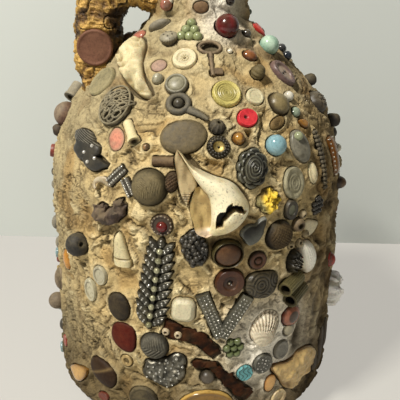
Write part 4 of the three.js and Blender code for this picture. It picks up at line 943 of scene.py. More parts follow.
# White ruffled shell at the right edge and the small shell curl: a knot of white shell, frilled into
# lumps and hollows, and a thin curl broken from a larger shell.
def ridges(points, size, seed):
    """Noise folded at its middle, so that its level line stands up as a ridge: 1 - |2n - 1|."""
    return 1 - np.abs(2 * clouds(points, size, seed) - 1)


def frilled(share, angle, x, y):
    """A high crown folded into lumps: two sizes of noise, the larger one sharpened to ridges."""
    spot = np.stack([x, y, 0 * x], -1)
    lumps = 4.2 * ridges(spot, 3.6, 91) + 2.4 * clouds(spot, 1.8, 92) - 2.4
    return crown(7.6, 0.6, 2.2)(share, angle, x, y) + lumps * (share < 0.985)


ruffle_form = pressed(oblong(17, 27, 2.4), frilled, 64, 140)
# The ridges are white and the hollows between them are painted grey, which the wear group darkens further:
# painted shade.
ruffle_high = ridges(ruffle_form[0] * (1, 1, 0), 3.6, 91)
ruffle_hue = mixed("b5ad9a", "fbf9f4", step(ruffle_high, 0.2, 0.66))
press("white_shell_cluster", [part(ruffle_form, ruffle_hue, shell, 0.4 + 0.6 * ruffle_high)], 79, 68.7, 5)
curl_angle = np.linspace(0, 4.2, 30)
curl_path = np.stack([4.4 * np.cos(curl_angle), 3 * np.sin(curl_angle), np.linspace(0.4, 4, 30)], -1)
curl_form = swept(curl_path, np.linspace(5, 1.6, 30), 1.6, 10)
press("shell_curl", [part(curl_form, mixed("c4b79c", "8d7858", clouds(curl_form[0], 3, 4)), shell)], -34, 163)

# Bone and shell fragments: the long knobbly cream fragment on the left shoulder, the white tooth-like
# stone at the right, and the bullet-shaped shard with a groove near its blunt end.
FRAGMENT_OUTLINE = (
    (-14.8, 24.2), (-26.8, 17), (-27.7, 8.8), (-16.2, 0.3), (-4.3, -7.7), (5.5, -13.2), (13.4, -17.1),
    (20, -18), (19.6, -14.7), (12.4, -8.7), (7, -3.2), (1.3, 5.1), (-3.5, 16), (-7.2, 21.4))


def knobbly(height, size, deep, seed):
    """A low crown with lumps: noise of the given size added to the height."""
    def face(share, angle, x, y):
        lumps = deep * (flat_clouds(x, y, size, seed) - 0.5) * (share < 0.97)
        return crown(height, 0.6, 3)(share, angle, x, y) + lumps
    return face


fragment_form = traced(FRAGMENT_OUTLINE, knobbly(4.8, 4.2, 6.4, 5), 60, 150)
x, y, z = fragment_form[0].T
# Darker in its low places: painted shade.
fragment_hue = mixed("f6e6b4", "b39c66", step(-z, -3.8, -1.2))
fragment_hue = mixed(fragment_hue, "b8a988", 0.5 * step(x + 0.7 * y, 0, 8))
press("shell_fragment", [part(fragment_form, fragment_hue, bone)], -37, 223.4, wrap=True)

WHITE_STONE = ((-6, 12), (-11, 8.4), (-9.8, -0.4), (-3.4, -12), (3.6, -12.6), (7.4, -6), (5, 3), (-0.2, 9.4))


def stone_face(share, angle, x, y):
    """A crown with fine growth lines on the slant."""
    return crown(5.6, 0.8)(share, angle, x, y) + 0.12 * np.cos((x + 0.4 * y) * 3.4)


stone_form = traced(WHITE_STONE, stone_face, 40, 110)
# Darker towards its edge: painted shade.
press("white_stone", [part(stone_form, mixed("fbf7ec", "c4b89e", stone_form[2] ** 3), bone)], 46.5, 116)

SHARD_LEFT = ((0.5, 15), (-2.2, 12.4), (-3.4, 8), (-3.4, 2), (-4.2, -2.4), (-3.4, -6.4))
SHARD_RIGHT = ((0.5, 15), (3.2, 12.4), (5.2, 7), (6.8, 1), (8.6, -3), (8.4, -6))
SHARD_GROOVE = 0.8


def shard_face(way, share, width, x, y):
    """A round back that rises from the point, with a groove across near the blunt end."""
    return 0.4 + 3.6 * arch(share, 0.5) * step(way, -0.2, 0.3) - 0.9 * bell(way, SHARD_GROOVE, 0.025)


shard_form = strung(SHARD_LEFT, SHARD_RIGHT, shard_face, 60, 40, 2.4)
# Darker down its sides and in the groove: painted shade.
shard_low = np.maximum(np.abs(2 * shard_form[3] - 1) ** 6, bell(shard_form[2], SHARD_GROOVE, 0.03))
press("bone_shard", [part(shard_form, mixed("cdbf96", "8a7a50", shard_low), bone)], -27, 122)

# Chips and shards cut or broken to an outline: a row has the seat, the corners, the height, the
# colour, that of the edge, and the finish. The colour of the edge is painted shade.
SHARDS = (
    ("peach_chip", 31, 33, ((2.3, 6.4), (4.5, 2), (1.1, -5.4), (-3.8, -5.1), (-4.7, 1.3), (-2.6, 6.6)),
        2.2, "dba866", "a06c34", bone),
    ("coral_patch", -30.4, 189, ((-5.8, 6), (-8, -0.8), (-3, -8), (2.6, -6.4), (3.6, 1), (-1, 6)),
        1.0, "cc7c66", "94745f", fired_clay),
    ("amber_chip_right", 51, 194, ((-6.8, 4.2), (-1.3, 4), (3, 1.2), (-0.5, -2.6), (-5.6, 0)),
        2.4, "a8742c", "5d3c12", marble_glass),
    ("cream_petal", 46, 135, ((-8.1, 7), (5.1, 2.6), (9.4, -0.2), (2.4, -6.6), (-4.2, -5.5)),
        2.0, "d6c7a4", "9c8a62", bone),
    ("amber_foot_shard", -54, 24, ((-9.6, -1.9), (-4.3, -7), (1.1, -9.9), (11, -3.3), (18.2, 8.5), (8.1, 6.3)),
        2.6, "b98a34", "6d4a1a", marble_glass),
    ("crystal", 21, 140, (
        (-9.3, 0.4), (-0.5, 4.6), (6.3, 8.9), (4.7, 2), (3.2, -3.1), (-0.1, -6.5), (-4, -7.5), (-6.6, -4)),
        4.2, "565953", "141513", moulded),
    ("red_heart", 76, 244, ((0, -7.4), (6, -1), (5.6, 5.2), (0, 3.8), (-5.6, 5.2), (-6, -1)),
        2.8, "dd3a2c", "a51f16", moulded),
    ("red_brown_chip", -25.7, 66.5, (
        (-6.4, 9.4), (-9.2, 3.2), (-7.4, -4.6), (-1, -9), (6.4, -8.6), (8.2, -2), (8.4, 4.6),
        (6.6, 9.2), (0, 10.6)),
        2.6, "4f1003", "400c04", dull_plastic),
)
for name, turn, height, corners, tall, hue, low_hue, material in SHARDS:
    form = traced(corners, crown(tall, tall * 0.5, 4), 24, 64, soft=0 if name == "crystal" else 2)
    patch = step(clouds(form[0], 3.2, len(name)), 0.55, 0.95) * 0.6
    tone = mixed(hue, low_hue, np.maximum(form[2] ** 4, patch))
    if name == "crystal":
        # The crystal is painted darker towards its upper left, a painted shadow, and paler near its rim, a
        # painted highlight.
        tone = mixed(hue, low_hue, step(form[0][:, 1] - 0.5 * form[0][:, 0], -4, 4))
        tone = mixed(tone, "a8aba4", step(form[2], 0.86, 0.96) * 0.4)
    press(name, [part(form, tone, material)], turn, height)

# Square pieces: a white square of glass or bone with a bevel, and a dark button carved with swirls.
# Both lie on the lower front.
SQUARE_OUTLINE = (
    (7, 0), (7, 4.8), (4.6, 7.6), (0, 7.6), (-4.6, 7.6), (-7, 4.8), (-7, 0), (-7, -4.8), (-4.6, -7.6),
    (0, -7.6), (4.6, -7.6), (7, -4.8))
SWIRL_MIDDLES = ((-13, -3), (-3, -10), (8, -6), (-5, 1), (6, 3))
SWIRL_OUTLINE = (
    (-12.3, 8.1), (-1.3, 8.4), (7.5, 6.2), (7.5, 0.1), (5.7, -6.2), (-0.2, -10), (-10.6, -7.3), (-15.6, -0.1))


def bevelled(share, angle, x, y):
    """A flat top, falling straight from two thirds of the way out."""
    return 4.6 - 2.4 * np.clip((share - 0.66) / 0.34, 0, 1)


def swirls(x, y):
    """Rings round the nearest of the swirl's middles, as a cosine of the distance."""
    return np.cos(3.2 * np.min([np.hypot(x - a, y - b) for a, b in SWIRL_MIDDLES], 0))


def swirl_face(share, angle, x, y):
    """A low crown carved with the swirls."""
    return crown(4.8, 1.4, 4)(share, angle, x, y) + 0.28 * swirls(x, y) * (share < 0.95)


square_form = traced(SQUARE_OUTLINE, bevelled, 28, 120, soft=1)
# The bevel is painted darker: painted shade.
square_hue = mixed("d0c6a6", "9c9070", step(square_form[2], 0.82, 1))
press("white_square", [part(square_form, square_hue, bone)], -3.3, 92.4, -3)
swirl_form = traced(SWIRL_OUTLINE, swirl_face, 40, 100)
# The carved grooves are painted darker and the wear group darkens them: painted shade.
swirl_low = step(-swirls(swirl_form[0][:, 0], swirl_form[0][:, 1]), -0.2, 0.9)
swirl_hue = mixed("40392a", "231e14", swirl_low)
press("swirl_square", [part(swirl_form, swirl_hue, moulded, 1 - 0.5 * swirl_low)], 26.4, 105.9)

# Rose brooch and flower buttons: jet-black glass or painted metal petals in tiers round a raised
# oval whorl. The edges of the petals and the ridges of the whorl are lighter grey. The wear group
# darkens the inner part of each tier and the whorl's grooves: painted shade.
jet = finish("jet", 0.34, 420, 0.4, 0.14, 0.0001, {"Specular IOR Level": 0.45})


def rose(width, length, height, petals, hue, edge_hue, material):
    """Two tiers of cupped petals: each is a pressed plate whose outline swells by a cosine for each
    petal, the upper one smaller and turned by half a petal, under a large oval whorl of rings."""
    def tier(size, low, high, phase):
        def lobe(angle):
            return np.abs(np.cos((petals * angle + phase) / 2)) ** 0.6

        def reach(angle):
            return oblong(width, length)(angle) * size * (0.84 + 0.16 * lobe(angle))

        def face(share, angle, x, y):
            cup = low + (high - low) * share ** 1.5 * (0.55 + 0.45 * lobe(angle))
            return height * (cup - 0.14 * step(share, 0.9, 1.0))

        form = pressed(reach, face, 18, 96)
        edge = step(form[2], 0.88, 0.99) * 0.8
        return part(form, mixed(hue, edge_hue, edge), material, 0.4 + 0.6 * form[2])

    def rings(share, angle):
        return np.cos(share * 24 - angle + 0.4 * np.cos(5 * angle))

    def whorl_face(share, angle, x, y):
        return height * (0.56 + 0.4 * np.sqrt(np.clip(1 - share ** 3, 0, 1)) + 0.05 * rings(share, angle))

    whorl = pressed(oblong(width * 0.62, length * 0.68), whorl_face, 44, 64)
    ridge = 0.5 + 0.5 * rings(whorl[2], whorl[3])
    return [
        tier(1.0, 0.1, 0.55, 0), tier(0.84, 0.3, 0.7, np.pi),
        part(whorl, mixed(hue, edge_hue, 0.7 * ridge ** 2), material, 0.5 + 0.5 * ridge)]


press("rose_brooch", rose(18.5, 23, 7, 8, "22221d", "5d5d50", jet), 20, 176.6, -12)
press("back_flower", rose(19, 19, 6, 8, "8c3a34", "b56a60", moulded), -162, 203.6)

# Fern brooch: cut marcasite leaves in dark metal, nine pairs up a stalk with a single leaf on top.
# Bright studs stand on each leaf, and nine round paste stones run up the stalk.
dark_metal = finish("dark_metal", 0.38, 520, 0.35, 0.25, 0.00008, {"Metallic": 0.75})
bright_stone = finish("bright_stone", 0.12, 600, 0.4, 0.2, 0.00002, {"Metallic": 0.35, "Coat Weight": 0.6})
FERN_LENGTH, FERN_WIDTH, FERN_PAIRS = 60.0, 21.0, 9
LEAF_STUDS = ((0.3, 0.8), (0.36, -0.9), (0.56, 0.7), (0.6, -0.7), (0.8, 0))
fern_end, leaf_pitch = FERN_LENGTH / 2, FERN_LENGTH / (FERN_PAIRS + 1.1)
fern_parts, fern_studs = [], []


def straight(start, end, steps):
    """Points at even steps along a straight line."""
    way = np.linspace(0, 1, steps)[:, None]
    return np.array(start) * (1 - way) + np.array(end) * way


def leaf(base, tip, width, height):
    """A pointed leaf from base to tip: its width swells as the sine of the way along, and its section
    is a low ridge."""
    swell = np.sin(np.pi * (0.14 + 0.84 * np.linspace(0, 1, 12)) ** 1.15)
    return swept(straight(base, tip, 12), width * np.clip(swell, 0.08, 1), height * (0.5 + 0.5 * swell), 8)


for k in range(FERN_PAIRS):
    foot = -fern_end + 2 + k * leaf_pitch
    far = FERN_WIDTH / 2 * (1 - 0.34 * (k / FERN_PAIRS) ** 2 - 0.1 * (k == 0))
    for hand in (-1, 1):
        base = np.array((hand * 0.8, foot, 0.6))
        tip = np.array((hand * far * 0.96, foot + leaf_pitch * 1.5, 1.6))
        fern_parts.append(part(leaf(base, tip, 5.8, 4.6), "44433d", dark_metal))
        fern_studs += [base + (tip - base) * t + (0, side, 1.9) for t, side in LEAF_STUDS]
top_leaf = np.array((0, fern_end - 7, 0.8)), np.array((0, fern_end + 0.5, 1.6))
fern_parts.append(part(leaf(*top_leaf, 5.6, 4.6), "3f3e39", dark_metal))
fern_studs += [top_leaf[0] * (1 - t) + top_leaf[1] * t + (0, 0, 2.0) for t in (0.3, 0.55, 0.8)]
stalk = straight((0, -fern_end, 0.8), (0, fern_end - 6, 0.8), 24)
fern_parts.append(part(swept(stalk, 3.4, 3.6, 10), "2b2a27", dark_metal))
stone_beads = beads(straight((0, -fern_end + 3, 2.9), (0, fern_end - 8, 2.9), 9), 1.9, 12, 7)
stud_beads = beads(fern_studs, 0.72)
fern_parts.append(part(stone_beads, mixed("7d7a52", "aaa88e", clouds(stone_beads[0], 9, 2)), bright_stone))
fern_parts.append(part(stud_beads, mixed("6d6b62", "d0cec6", clouds(stud_beads[0], 2, 3)), bright_stone))
press("fern_brooch", fern_parts, -13.2, 107.4, -8)

# V clip: two bars of dark metal meeting in a point, set with three columns of round paste stones,
# none quite alike or in line.
V_FOOT, V_ENDS, V_BAR = (-1.2, -12.0, 1.0), ((-13.6, 16.6, 1.0), (14.2, 14.2, 1.0)), 8.0
V_PITCH, V_COLUMN = 2.2, 2.3


def lots(places, seed):
    """Three numbers from 0 to 1 drawn for each place, the same whenever they are drawn again."""
    box = np.round(places * 10).astype(np.int64)
    return np.stack([drawn(box, seed + k) for k in (0, 1, 2)], -1)


clip_parts = []
for end in V_ENDS:
    start, end = np.array(V_FOOT), np.array(end)
    long = np.linalg.norm(end - start)
    along = (end - start) / long
    across = np.array((along[1], -along[0], 0))
    spots = np.array([
        start + along * (V_PITCH * row + 1.5) + across * (column * V_COLUMN) + (0, 0, 1.9)
        for row in range(int(long / V_PITCH)) for column in (-1, 0, 1)])
    lot = lots(spots, 5)[:, 0]
    studs = beads(spots + np.stack([lot, -lot, 0 * lot], -1) * 0.5, 0.66 + 0.4 * lot)
    clip_parts += [
        part(swept(straight(start, end, 14), V_BAR, 4.0, 16, square=5), "5f5e54", dark_metal),
        part(studs, mixed("605e54", "aeaba0", clouds(studs[0], 1.6, 6)), bright_stone)]
press("v_clip", clip_parts, 10.9, 86, -1)

# Fan brooch: a marcasite shield of knobbly dark metal with a scalloped edge, set with bright studs of
# uneven size.
FAN_OUTLINE = (
    (6.7, 15.4), (11.4, 14), (12.8, 9), (11.4, 5), (12.2, 0), (9.6, -4.2), (6, -8), (1.4, -10.4), (-4, -8.2),
    (-8.4, -6.4), (-12.4, -4.4), (-15, -0.6), (-12.8, 3.4), (-13, 7.4), (-7.4, 8.4), (-1.4, 10.6), (3, 12))
fan_form = traced(FAN_OUTLINE, knobbly(3.2, 2.2, 1.8, 19), 40, 150, soft=1)
lattice = np.stack(np.meshgrid(np.arange(-14, 14, 3.7), np.arange(-9, 16, 3.3)), -1).reshape(-1, 2)
lot = lots(np.insert(lattice, 2, 0, 1), 0)
lattice = lattice + 2.2 * (lot[:, :2] - 0.5)
kept = within(lattice[:, 0], lattice[:, 1], FAN_OUTLINE) > 1.0
fan_studs = beads(np.insert(lattice[kept], 2, 3.0, 1), 0.6 + 0.45 * lot[kept, 2])
fan_tone = mixed("3d3c37", "6a6860", step(clouds(fan_form[0], 2.2, 19), 0.3, 0.7))
stud_tone = mixed("77756d", "c6c4bc", clouds(fan_studs[0], 3, 7))
press("fan_brooch", [
    part(fan_form, fan_tone, dark_metal), part(fan_studs, stud_tone, bright_stone)], -9.5, 47.6)

# Black bead brooch: glass beads of uneven size wired close together over a plate.
# It is black all over, and only the highest beads catch the light.
def clustered(corners, pitch, small, large, low, high, seed):
    """Beads crowded inside an outline: a slanted grid of places, each pushed aside and sized by drawn
    numbers, standing higher in the middle."""
    (left, bottom), (right, top) = np.min(corners, 0), np.max(corners, 0)
    grid = np.stack(np.meshgrid(np.arange(left, right, pitch), np.arange(bottom, top, pitch * 0.87)), -1)
    grid[1::2, :, 0] += pitch / 2
    grid = grid.reshape(-1, 2)
    lot = lots(np.insert(grid, 2, 0, 1), seed)
    grid = grid + 0.7 * pitch * (lot[:, :2] - 0.5)
    inside = within(grid[:, 0], grid[:, 1], corners)
    kept = inside > 0.3
    lift = low + (high - low) * step(inside[kept], 0, 6) + 0.8 * lot[kept, 2]
    return beads(np.insert(grid[kept], 2, lift, 1), small + (large - small) * lot[kept, 2], 9, 6)


BROOCH_OUTLINE = (
    (-8.5, 7.6), (-5.2, 9.4), (-2.4, 13.2), (2.4, 13.2), (4.4, 8.6), (8, 2.2), (7, -5.8), (2.5, -9.6),
    (-3.4, -8.4), (-6.4, -1.6))
brooch_beads = clustered(BROOCH_OUTLINE, 2.7, 1.1, 1.8, 2.0, 4.0, 81)
press("bead_brooch", [
    part(traced(BROOCH_OUTLINE, crown(2.6, 0.8, 3), 16, 60), "1d1b19", jet),
    part(brooch_beads, mixed("1f1d1b", "3d3b37", clouds(brooch_beads[0], 3, 1)), jet)], 0.3, 130.1)

# Yellow flower: a scrap of wax or gum, torn into curled petals and grey with dust on the lower left.
# It is the brightest spot on the jug, at the right of the whelk.
def wax_edge(angle):
    """An outline that swells a little nine times and four times round."""
    return 7.2 + 0.4 * np.cos(9 * angle + 0.6) + 0.5 * np.cos(4 * angle)


def torn_wax(share, angle, x, y):
    """Curled petals: seven waves round the edge with noise of two sizes over them, falling to the rim."""
    curl = 3.6 * (flat_clouds(x, y, 2.6, 33) - 0.4) + 1.8 * (flat_clouds(x, y, 1.3, 34) - 0.5)
    return 3.0 + 0.6 * share * np.cos(7 * angle + 0.6) + 1.5 * curl - 2.2 * share ** 5


flower_form = pressed(wax_edge, torn_wax, 44, 110)
x, y, z = flower_form[0].T
# The low parts of the petals are painted dark brown under the yellow, and the wear group darkens them too:
# painted shade.
flower_hue = mixed("8a6a18", "ecc840", step(z, 0.6, 3.2))
flower_hue = mixed(flower_hue, "8a8254", step(-x - 0.5 * y, 2.6, 6))
press("yellow_flower", [part(flower_form, flower_hue, fired_clay, step(z, 0, 3))], 25.6, 158)

# Bunches of beads: small glass beads sewn side by side in rows. The sage green ones form a triangle
# on the neck, and smaller bunches fill gaps below.
def bunch(rows, pitch, lift):
    """Places of beads in rows, each row centred, the first row uppermost."""
    return np.array([
        ((i - (count - 1) / 2) * pitch, ((len(rows) - 1) / 2 - k) * pitch * 0.95, lift)
        for k, count in enumerate(rows) for i in range(count)])


for name, turn, height, rows, pitch, lift, size, hue, pale in (
        ("green_bead_cluster", -7.8, 245.8, (1, 2, 3), 5.0, 1.2, (2.9, 18, 11), "707c4c", "98a276"),
        ("green_seed_beads", 15, 65, (2, 3, 2), 4.3, 0.7, (2.4, 10, 6), "5c6642", "5c6642"),
        ("net_beads", 50, 147, (2, 4, 4, 3), 2.9, 0.7, (1.6, 10, 6), "2a2622", "2a2622")):
    form = beads(bunch(rows, pitch, lift), *size)
    press(name, [part(form, mixed(hue, pale, clouds(form[0], 2.6, 8)), marble_glass)], turn, height)

# Strips of beads and stones: a chain of dark beads and an amber comb bar edged with paste stones on
# the right, a marcasite L-shaped strip on the left, and dark vertical strips at the right edge.
dusty_wire = finish("dusty_wire", 0.7, 520, 0.4, 0.45, 0.0002, {"Metallic": 0.1})


def paired(aside, end, count, high):
    """Places in two straight rows, one on each hand, from -end up to end."""
    up = np.linspace(-end, end, count)
    return np.stack([np.tile([-aside, aside], count), np.repeat(up, 2), np.full(2 * count, high)], -1)


chain_beads = beads(paired(1.1, 17, 14, 0.9), 1.35, 9, 5)
press("chain_strip", [part(chain_beads, "544c3d", dusty_wire)], 55, 173, wrap=True)
amber_bar = pressed(oblong(8.4, 25, 5), crown(4, 1.2, 4), 18, 60)
# The amber bar is painted darker towards its edge: painted shade.
press("amber_comb_bar", [
    part(amber_bar, mixed("804f14", "4d2e0c", amber_bar[2] ** 3), marble_glass),
    part(beads(paired(3.7, 11, 9, 2.6), 0.6), "c9c2b0", bright_stone)], 66, 171, wrap=True)
for hand, (a, b) in enumerate((((-6.4, -1.8), (2.5, 7.6)), ((3.5, 1.3), (9, -6.5)))):
    line = straight((*a, 0.8), (*b, 0.8), 8)
    aside = np.array((a[1] - b[1], b[0] - a[0], 0)) / np.hypot(b[0] - a[0], b[1] - a[1]) * 1.5
    studs = np.concatenate([line + aside, line - aside]) + (0, 0, 1.7)
    press(f"marcasite_strip_{hand}", [
        part(swept(line, 6.0, 3.4, 12, square=4), "4d4a45", dark_metal),
        part(beads(studs, 0.9), "a09d94", bright_stone)], -27, 167)
for k, (turn, height, long) in enumerate(((64, 37, 28), (71, 41, 22), (58, 30, 14))):
    strip = pressed(oblong(6.4, long, 5), crown(2.6, 1.0, 4), 16, 56)
    tone = mixed("4d4236", "2a221a", clouds(strip[0], 4, k))
    press(f"dark_strip_{k}", [part(strip, tone, slate)], turn, height, 6 * k - 4, wrap=True)

# Black comb piece: a vulcanite hair ornament, ridged at the upper left, with a pointed wing to the
# right and four paste stones let into it.
COMB_OUTLINE = (
    (-16.4, 10.4), (-9, 12.4), (-0.6, 11), (3.4, 7), (9.6, 4.6), (10, 1.2), (8.4, -0.8), (14.3, -2.4), (19, -4),
    (14.6, -6.2), (10.6, -8.6), (4.6, -8.2), (-1.6, -4.6), (-9, -3), (-13.6, -0.4), (-12.4, 3.9), (-15.6, 7))
COMB_STONES = ((4.9, 4.6, 4.2), (-0.1, 0, 4.2), (9.3, -1.6, 4.2), (4.3, -4.6, 4.2))


def comb_ridges(x, y):
    """Ridges across the upper part, a little on the slant: a cosine."""
    return np.cos((y + 0.25 * x) * 5.6) * step(y, 4.6, 5.4)


def comb_face(share, angle, x, y):
    """A nearly flat face with a rounded edge, and the ridges on it."""
    return crown(4.2, 2.0, 5)(share, angle, x, y) + 0.4 * comb_ridges(x, y) * (share < 0.97)


comb_form = traced(COMB_OUTLINE, comb_face, 90, 160, soft=0)
# The ridge tops are painted lighter: painted highlight.
comb_hue = mixed("2a2926", "77746a", step(comb_ridges(*comb_form[0][:, :2].T), 0.2, 0.9))
press("black_comb", [
    part(comb_form, comb_hue, horn),
    part(beads(COMB_STONES, 1.15, 9, 5), "c9c6be", bright_stone)], -43.5, 177.7, wrap=True)

# Openwork button: a dark dome of cast wire loops, scrolls round a middle ring on a plain edge. The
# plate under the wires is painted near black: painted shade for the hollow between them.
WIRE_LOOPS, WIRE_SPREAD, WIRE_STRETCH = 26, 9.4, 1.2
wire_parts = [part(pressed(oblong(20, 24), crown(4.4, 0.4), 14, 48), "211b14", dusty_wire, 0.6)]
loop_angle = np.arange(28) / 28 * 2 * np.pi


def on_dome(x, y, radius, height):
    """A point lifted onto a dome: height * sqrt(1 - (r / radius)^2)."""
    return np.stack([x, y, 0.6 + height * np.sqrt(np.clip(1 - (x * x + y * y) / radius ** 2, 0, 1))], -1)


for k in range(WIRE_LOOPS):
    slip = drawn(np.array([k, 3, 5]), 1)
    far, size = WIRE_SPREAD * np.sqrt((k + 0.5) / WIRE_LOOPS), 1.5 + 1.5 * slip
    x = far * np.cos(k * 2.4) + size * np.cos(loop_angle)
    y = far * np.sin(k * 2.4) + size * (0.6 + 0.6 * slip) * np.sin(loop_angle + slip)
    wire = swept(on_dome(x, y, 11.8, 5.2 + 1.2 * slip), 1.1, 1.1, 7, closed=True)
    wire_parts.append(part(wire, mixed("5a5343", "87806a", clouds(wire[0], 3, k)), dusty_wire))
for far, thick in ((10.2, 1.3), (1.6, 1.1)):
    loop = on_dome(far * np.cos(loop_angle), far * np.sin(loop_angle), 11.6, 5.8) * (1, WIRE_STRETCH, 1)
    wire_parts.append(part(swept(loop, thick, thick, 8, closed=True), "6a634e", dusty_wire))
press("openwork_button", wire_parts, -37.2, 204.3)

# Old key: forged iron with an oval bow, a round stem and a bit at the lower right, rusted grey-brown.
# It lies upright below the neck, half sunk in the putty.
rusty_iron = finish("rusty_iron", 0.65, 620, 0.5, 0.35, 0.00025, {"Metallic": 0.45})
bow_path = ringed(28, 1.0, 0.8) * (6.3, 4.2, 1) + (0, 7.5, 0)
stem_path = straight((0, 3.6, 0.8), (0, -13, 0.8), 12)
stem_width = 2.6 + 0.7 * bell(np.arange(12), 1.5, 0.7)
bit_path = straight((0.6, -10, 0.7), (5.8, -10, 0.7), 8)
press("old_key", [
    part(swept(bow_path, 2.2, 2.6, 12, closed=True), "82705a", rusty_iron),
    part(swept(stem_path, stem_width, 3.0, 14), "7a6852", rusty_iron),
    part(swept(bit_path, 4.2, 2.4, 12, square=6), "64513f", rusty_iron)], 8.4, 231.8)

# Tubes: an ivory pipe stem with a collar and a hole, a brown clay tube, two fluted brass tubes
# side by side, and a short grey tube at the left edge. They lie on their sides, part sunk. The bore of
# each is painted near black, and the wear group darkens it: painted shade.
def tube(radius, bore, length, ribs=0, deep=0.0, collar=0.0):
    """A hollow tube lying along X: a wall from bore to radius turned about its axis, fluted by a
    cosine for each rib, with a thicker collar at one end."""
    run = np.linspace(-length / 2, length / 2, 14)
    outer = radius + collar * step(run, length * 0.28, length * 0.36)
    section = np.concatenate([np.stack([outer, run], -1), np.stack([np.full(14, bore), run[::-1]], -1)])
    points, *rest = spun(section, 56, joined=True)
    points = fluted(points, ribs, deep, np.hypot(*points[:, :2].T) > bore * 1.05)
    return turned((points, *rest), "Y", 90)


for name, turn, height, size, spin, tip, hue, material in (
        ("ivory_pipe_stem", -26, 193, (2.9, 1.6, 15, 0, 0, 0.7), -50, -14, "e6d5a4", bone),
        ("brown_clay_tube", -11.2, 180.3, (2.8, 1.5, 12.5, 0, 0, 0), 3, -8, "55402c", fired_clay),
        ("fluted_tube_upper", 37.4, 102, (4.4, 3.0, 18, 20, 0.05, 0), 8, 20, "6d6640", aged_brass),
        ("fluted_tube_lower", 39.8, 93.4, (4.4, 3.0, 18, 20, 0.05, 0), 8, 20, "575134", aged_brass),
        ("grey_edge_tube", -88, 200, (4.4, 2.4, 11, 0, 0, 0.5), -50, 0, "8a8577", fired_clay)):
    radius, bore = size[:2]
    form = tube(*size)
    open_air = step(np.hypot(form[0][:, 1], form[0][:, 2]), bore * 1.05, bore * 1.3)
    form = turned(form, "Y", tip, (0, 0, radius - 1.8))
    # The bore is painted near black: painted shade.
    tone = mixed("1a130c", hue, open_air)
    press(name, [part(form, tone, material, 0.3 + 0.7 * open_air)], turn, height, spin)

# Gunmetal ring: a finger ring lying in the putty with a black bead caught in it and a tail of wire
# that curves away to the right.
ring_path = ringed(28, 1.0, 1.3) * (5.6, 5.2, 1)
tail_path = bezier([(4.6, -2.4, 1.2), (9, -4.4, 1.6), (14, -6.4, 1.4), (17.5, -8.5, 0.6)], 14)
press("gunmetal_ring", [
    part(swept(ring_path, 3.6, 4.0, 12, closed=True), "4a473f", dusty_wire),
    part(swept(tail_path, np.linspace(5.4, 2.0, 14), 2.8, 12), "534f44", dusty_wire),
    part(turned(ball(3.2, 18), at=(0, 0, 1.4)), "1b1a19", jet)], -8.1, 209)

# Rough fragment: a dark purple-brown crust curled like a C, perhaps cinder, on the left.
# Its surface is broken into lumps all over.
C_LINE = ((-6.4, 1.4), (-5.4, -1.6), (-0.8, -4.6), (5.1, -2.2), (8.7, 3), (7.6, 8))
c_path = rounded(np.insert(np.array(C_LINE), 2, 1.8, 1), 3, closed=False)
c_form = swept(c_path, 8.0 * (0.6 + 0.7 * clouds(c_path, 3.6, 8)), 8.0, 32)
c_lumps = [clouds(c_form[0], 4.2, seed) + 0.6 * clouds(c_form[0], 1.9, seed + 3) for seed in (6, 16, 26)]
c_form = (c_form[0] + (np.stack(c_lumps, -1) - 0.8) * 3.4, *c_form[1:])
cinder = finish("cinder", 0.75, 480, 0.45, 0.45, 0.0006)
press("rough_fragment", [part(c_form, mixed("54423a", "2c211c", clouds(c_form[0], 3, 9)), cinder)], -31, 149)

# Leather strips: two brown straps from a clasp, pressed in flat. The upper one has two pinkish
# eyelet beads, the lower one runs down to the right.
STRAP_UPPER = ((-17, 9.4), (-8, 6.6), (3.3, 3.3), (9, -2.4), (14.4, -8.9))
STRAP_LOWER = ((-20, 12.6), (-10, 11.6), (-4, 6), (3, -2.4), (10, -10.4), (15.5, -14.4))
leather = finish("leather", 0.7, 480, 0.5, 0.1, 0.0004, {"Specular IOR Level": 0.12})
for name, corners, turn, height, wide in (
        ("leather_strap_upper", STRAP_UPPER, 0, 70, (10, 6.5)),
        ("leather_strap_lower", STRAP_LOWER, 12.6, 43, (3, 9))):
    path = rounded(np.insert(np.array(corners), 2, 0.6, 1), 3, closed=False)
    form = swept(path, np.linspace(*wide, len(path)), 2.4, 22, square=6)
    torn = [clouds(form[0], 2.6, seed) + 0.5 * clouds(form[0], 1.2, seed) for seed in (3, 13, 23)]
    form = (form[0] + (np.stack(torn, -1) - 0.75) * (3.0, 3.0, 1.2), *form[1:])
    tone = mixed("3f1f0b", "190b03", step(clouds(form[0], 2.4, 5), 0.3, 0.7))
    press(name, [part(form, tone, leather)], turn, height, wrap=True)
for k, (turn, height) in enumerate(((-9.4, 76.9), (-5.1, 75.5))):
    press(f"strap_eyelet_{k}", [part(turned(bored(2.4, 1.0), at=(0, 0, 1.4)), "b3a284", pearl)], turn, height)

# The back, which the photograph doesn't show, carries trinkets of the same common kinds in rows from
# the foot up: d dome, f flat button, b bead, o oval, s shell, l long chip. A dot is a place that a
# larger piece takes. Small beads and chips fill the gaps between them.
BACK_ROWS = (
    "ofdbosfdb", "dbsofbld", "so.bdf.ob", "fdbolsdf", "..o.bdsbo", "bsfbodlf", "dflb.ob", "bfbob", "bb.")
BACK_SIZES = {
    "d": (13, 13, 5), "f": (14, 14, 2.8), "b": (8.4, 8.4, 5.5), "o": (10, 15, 4), "s": (15, 13, 4),
    "l": (7, 16, 3)}
BACK_HUES = (
    ("5b4630", moulded), ("c9c3ac", pearl), ("3a3732", moulded), ("7d786a", slate), ("8a3a30", moulded),
    ("b08a4a", aged_brass), ("d6c9a4", bone), ("4d5a4a", marble_glass), ("6a4a2c", horn),
    ("86a2a6", marble_glass), ("2b2926", jet), ("a08a5c", fired_clay))
BACK_START, BACK_SPAN = 100, 160
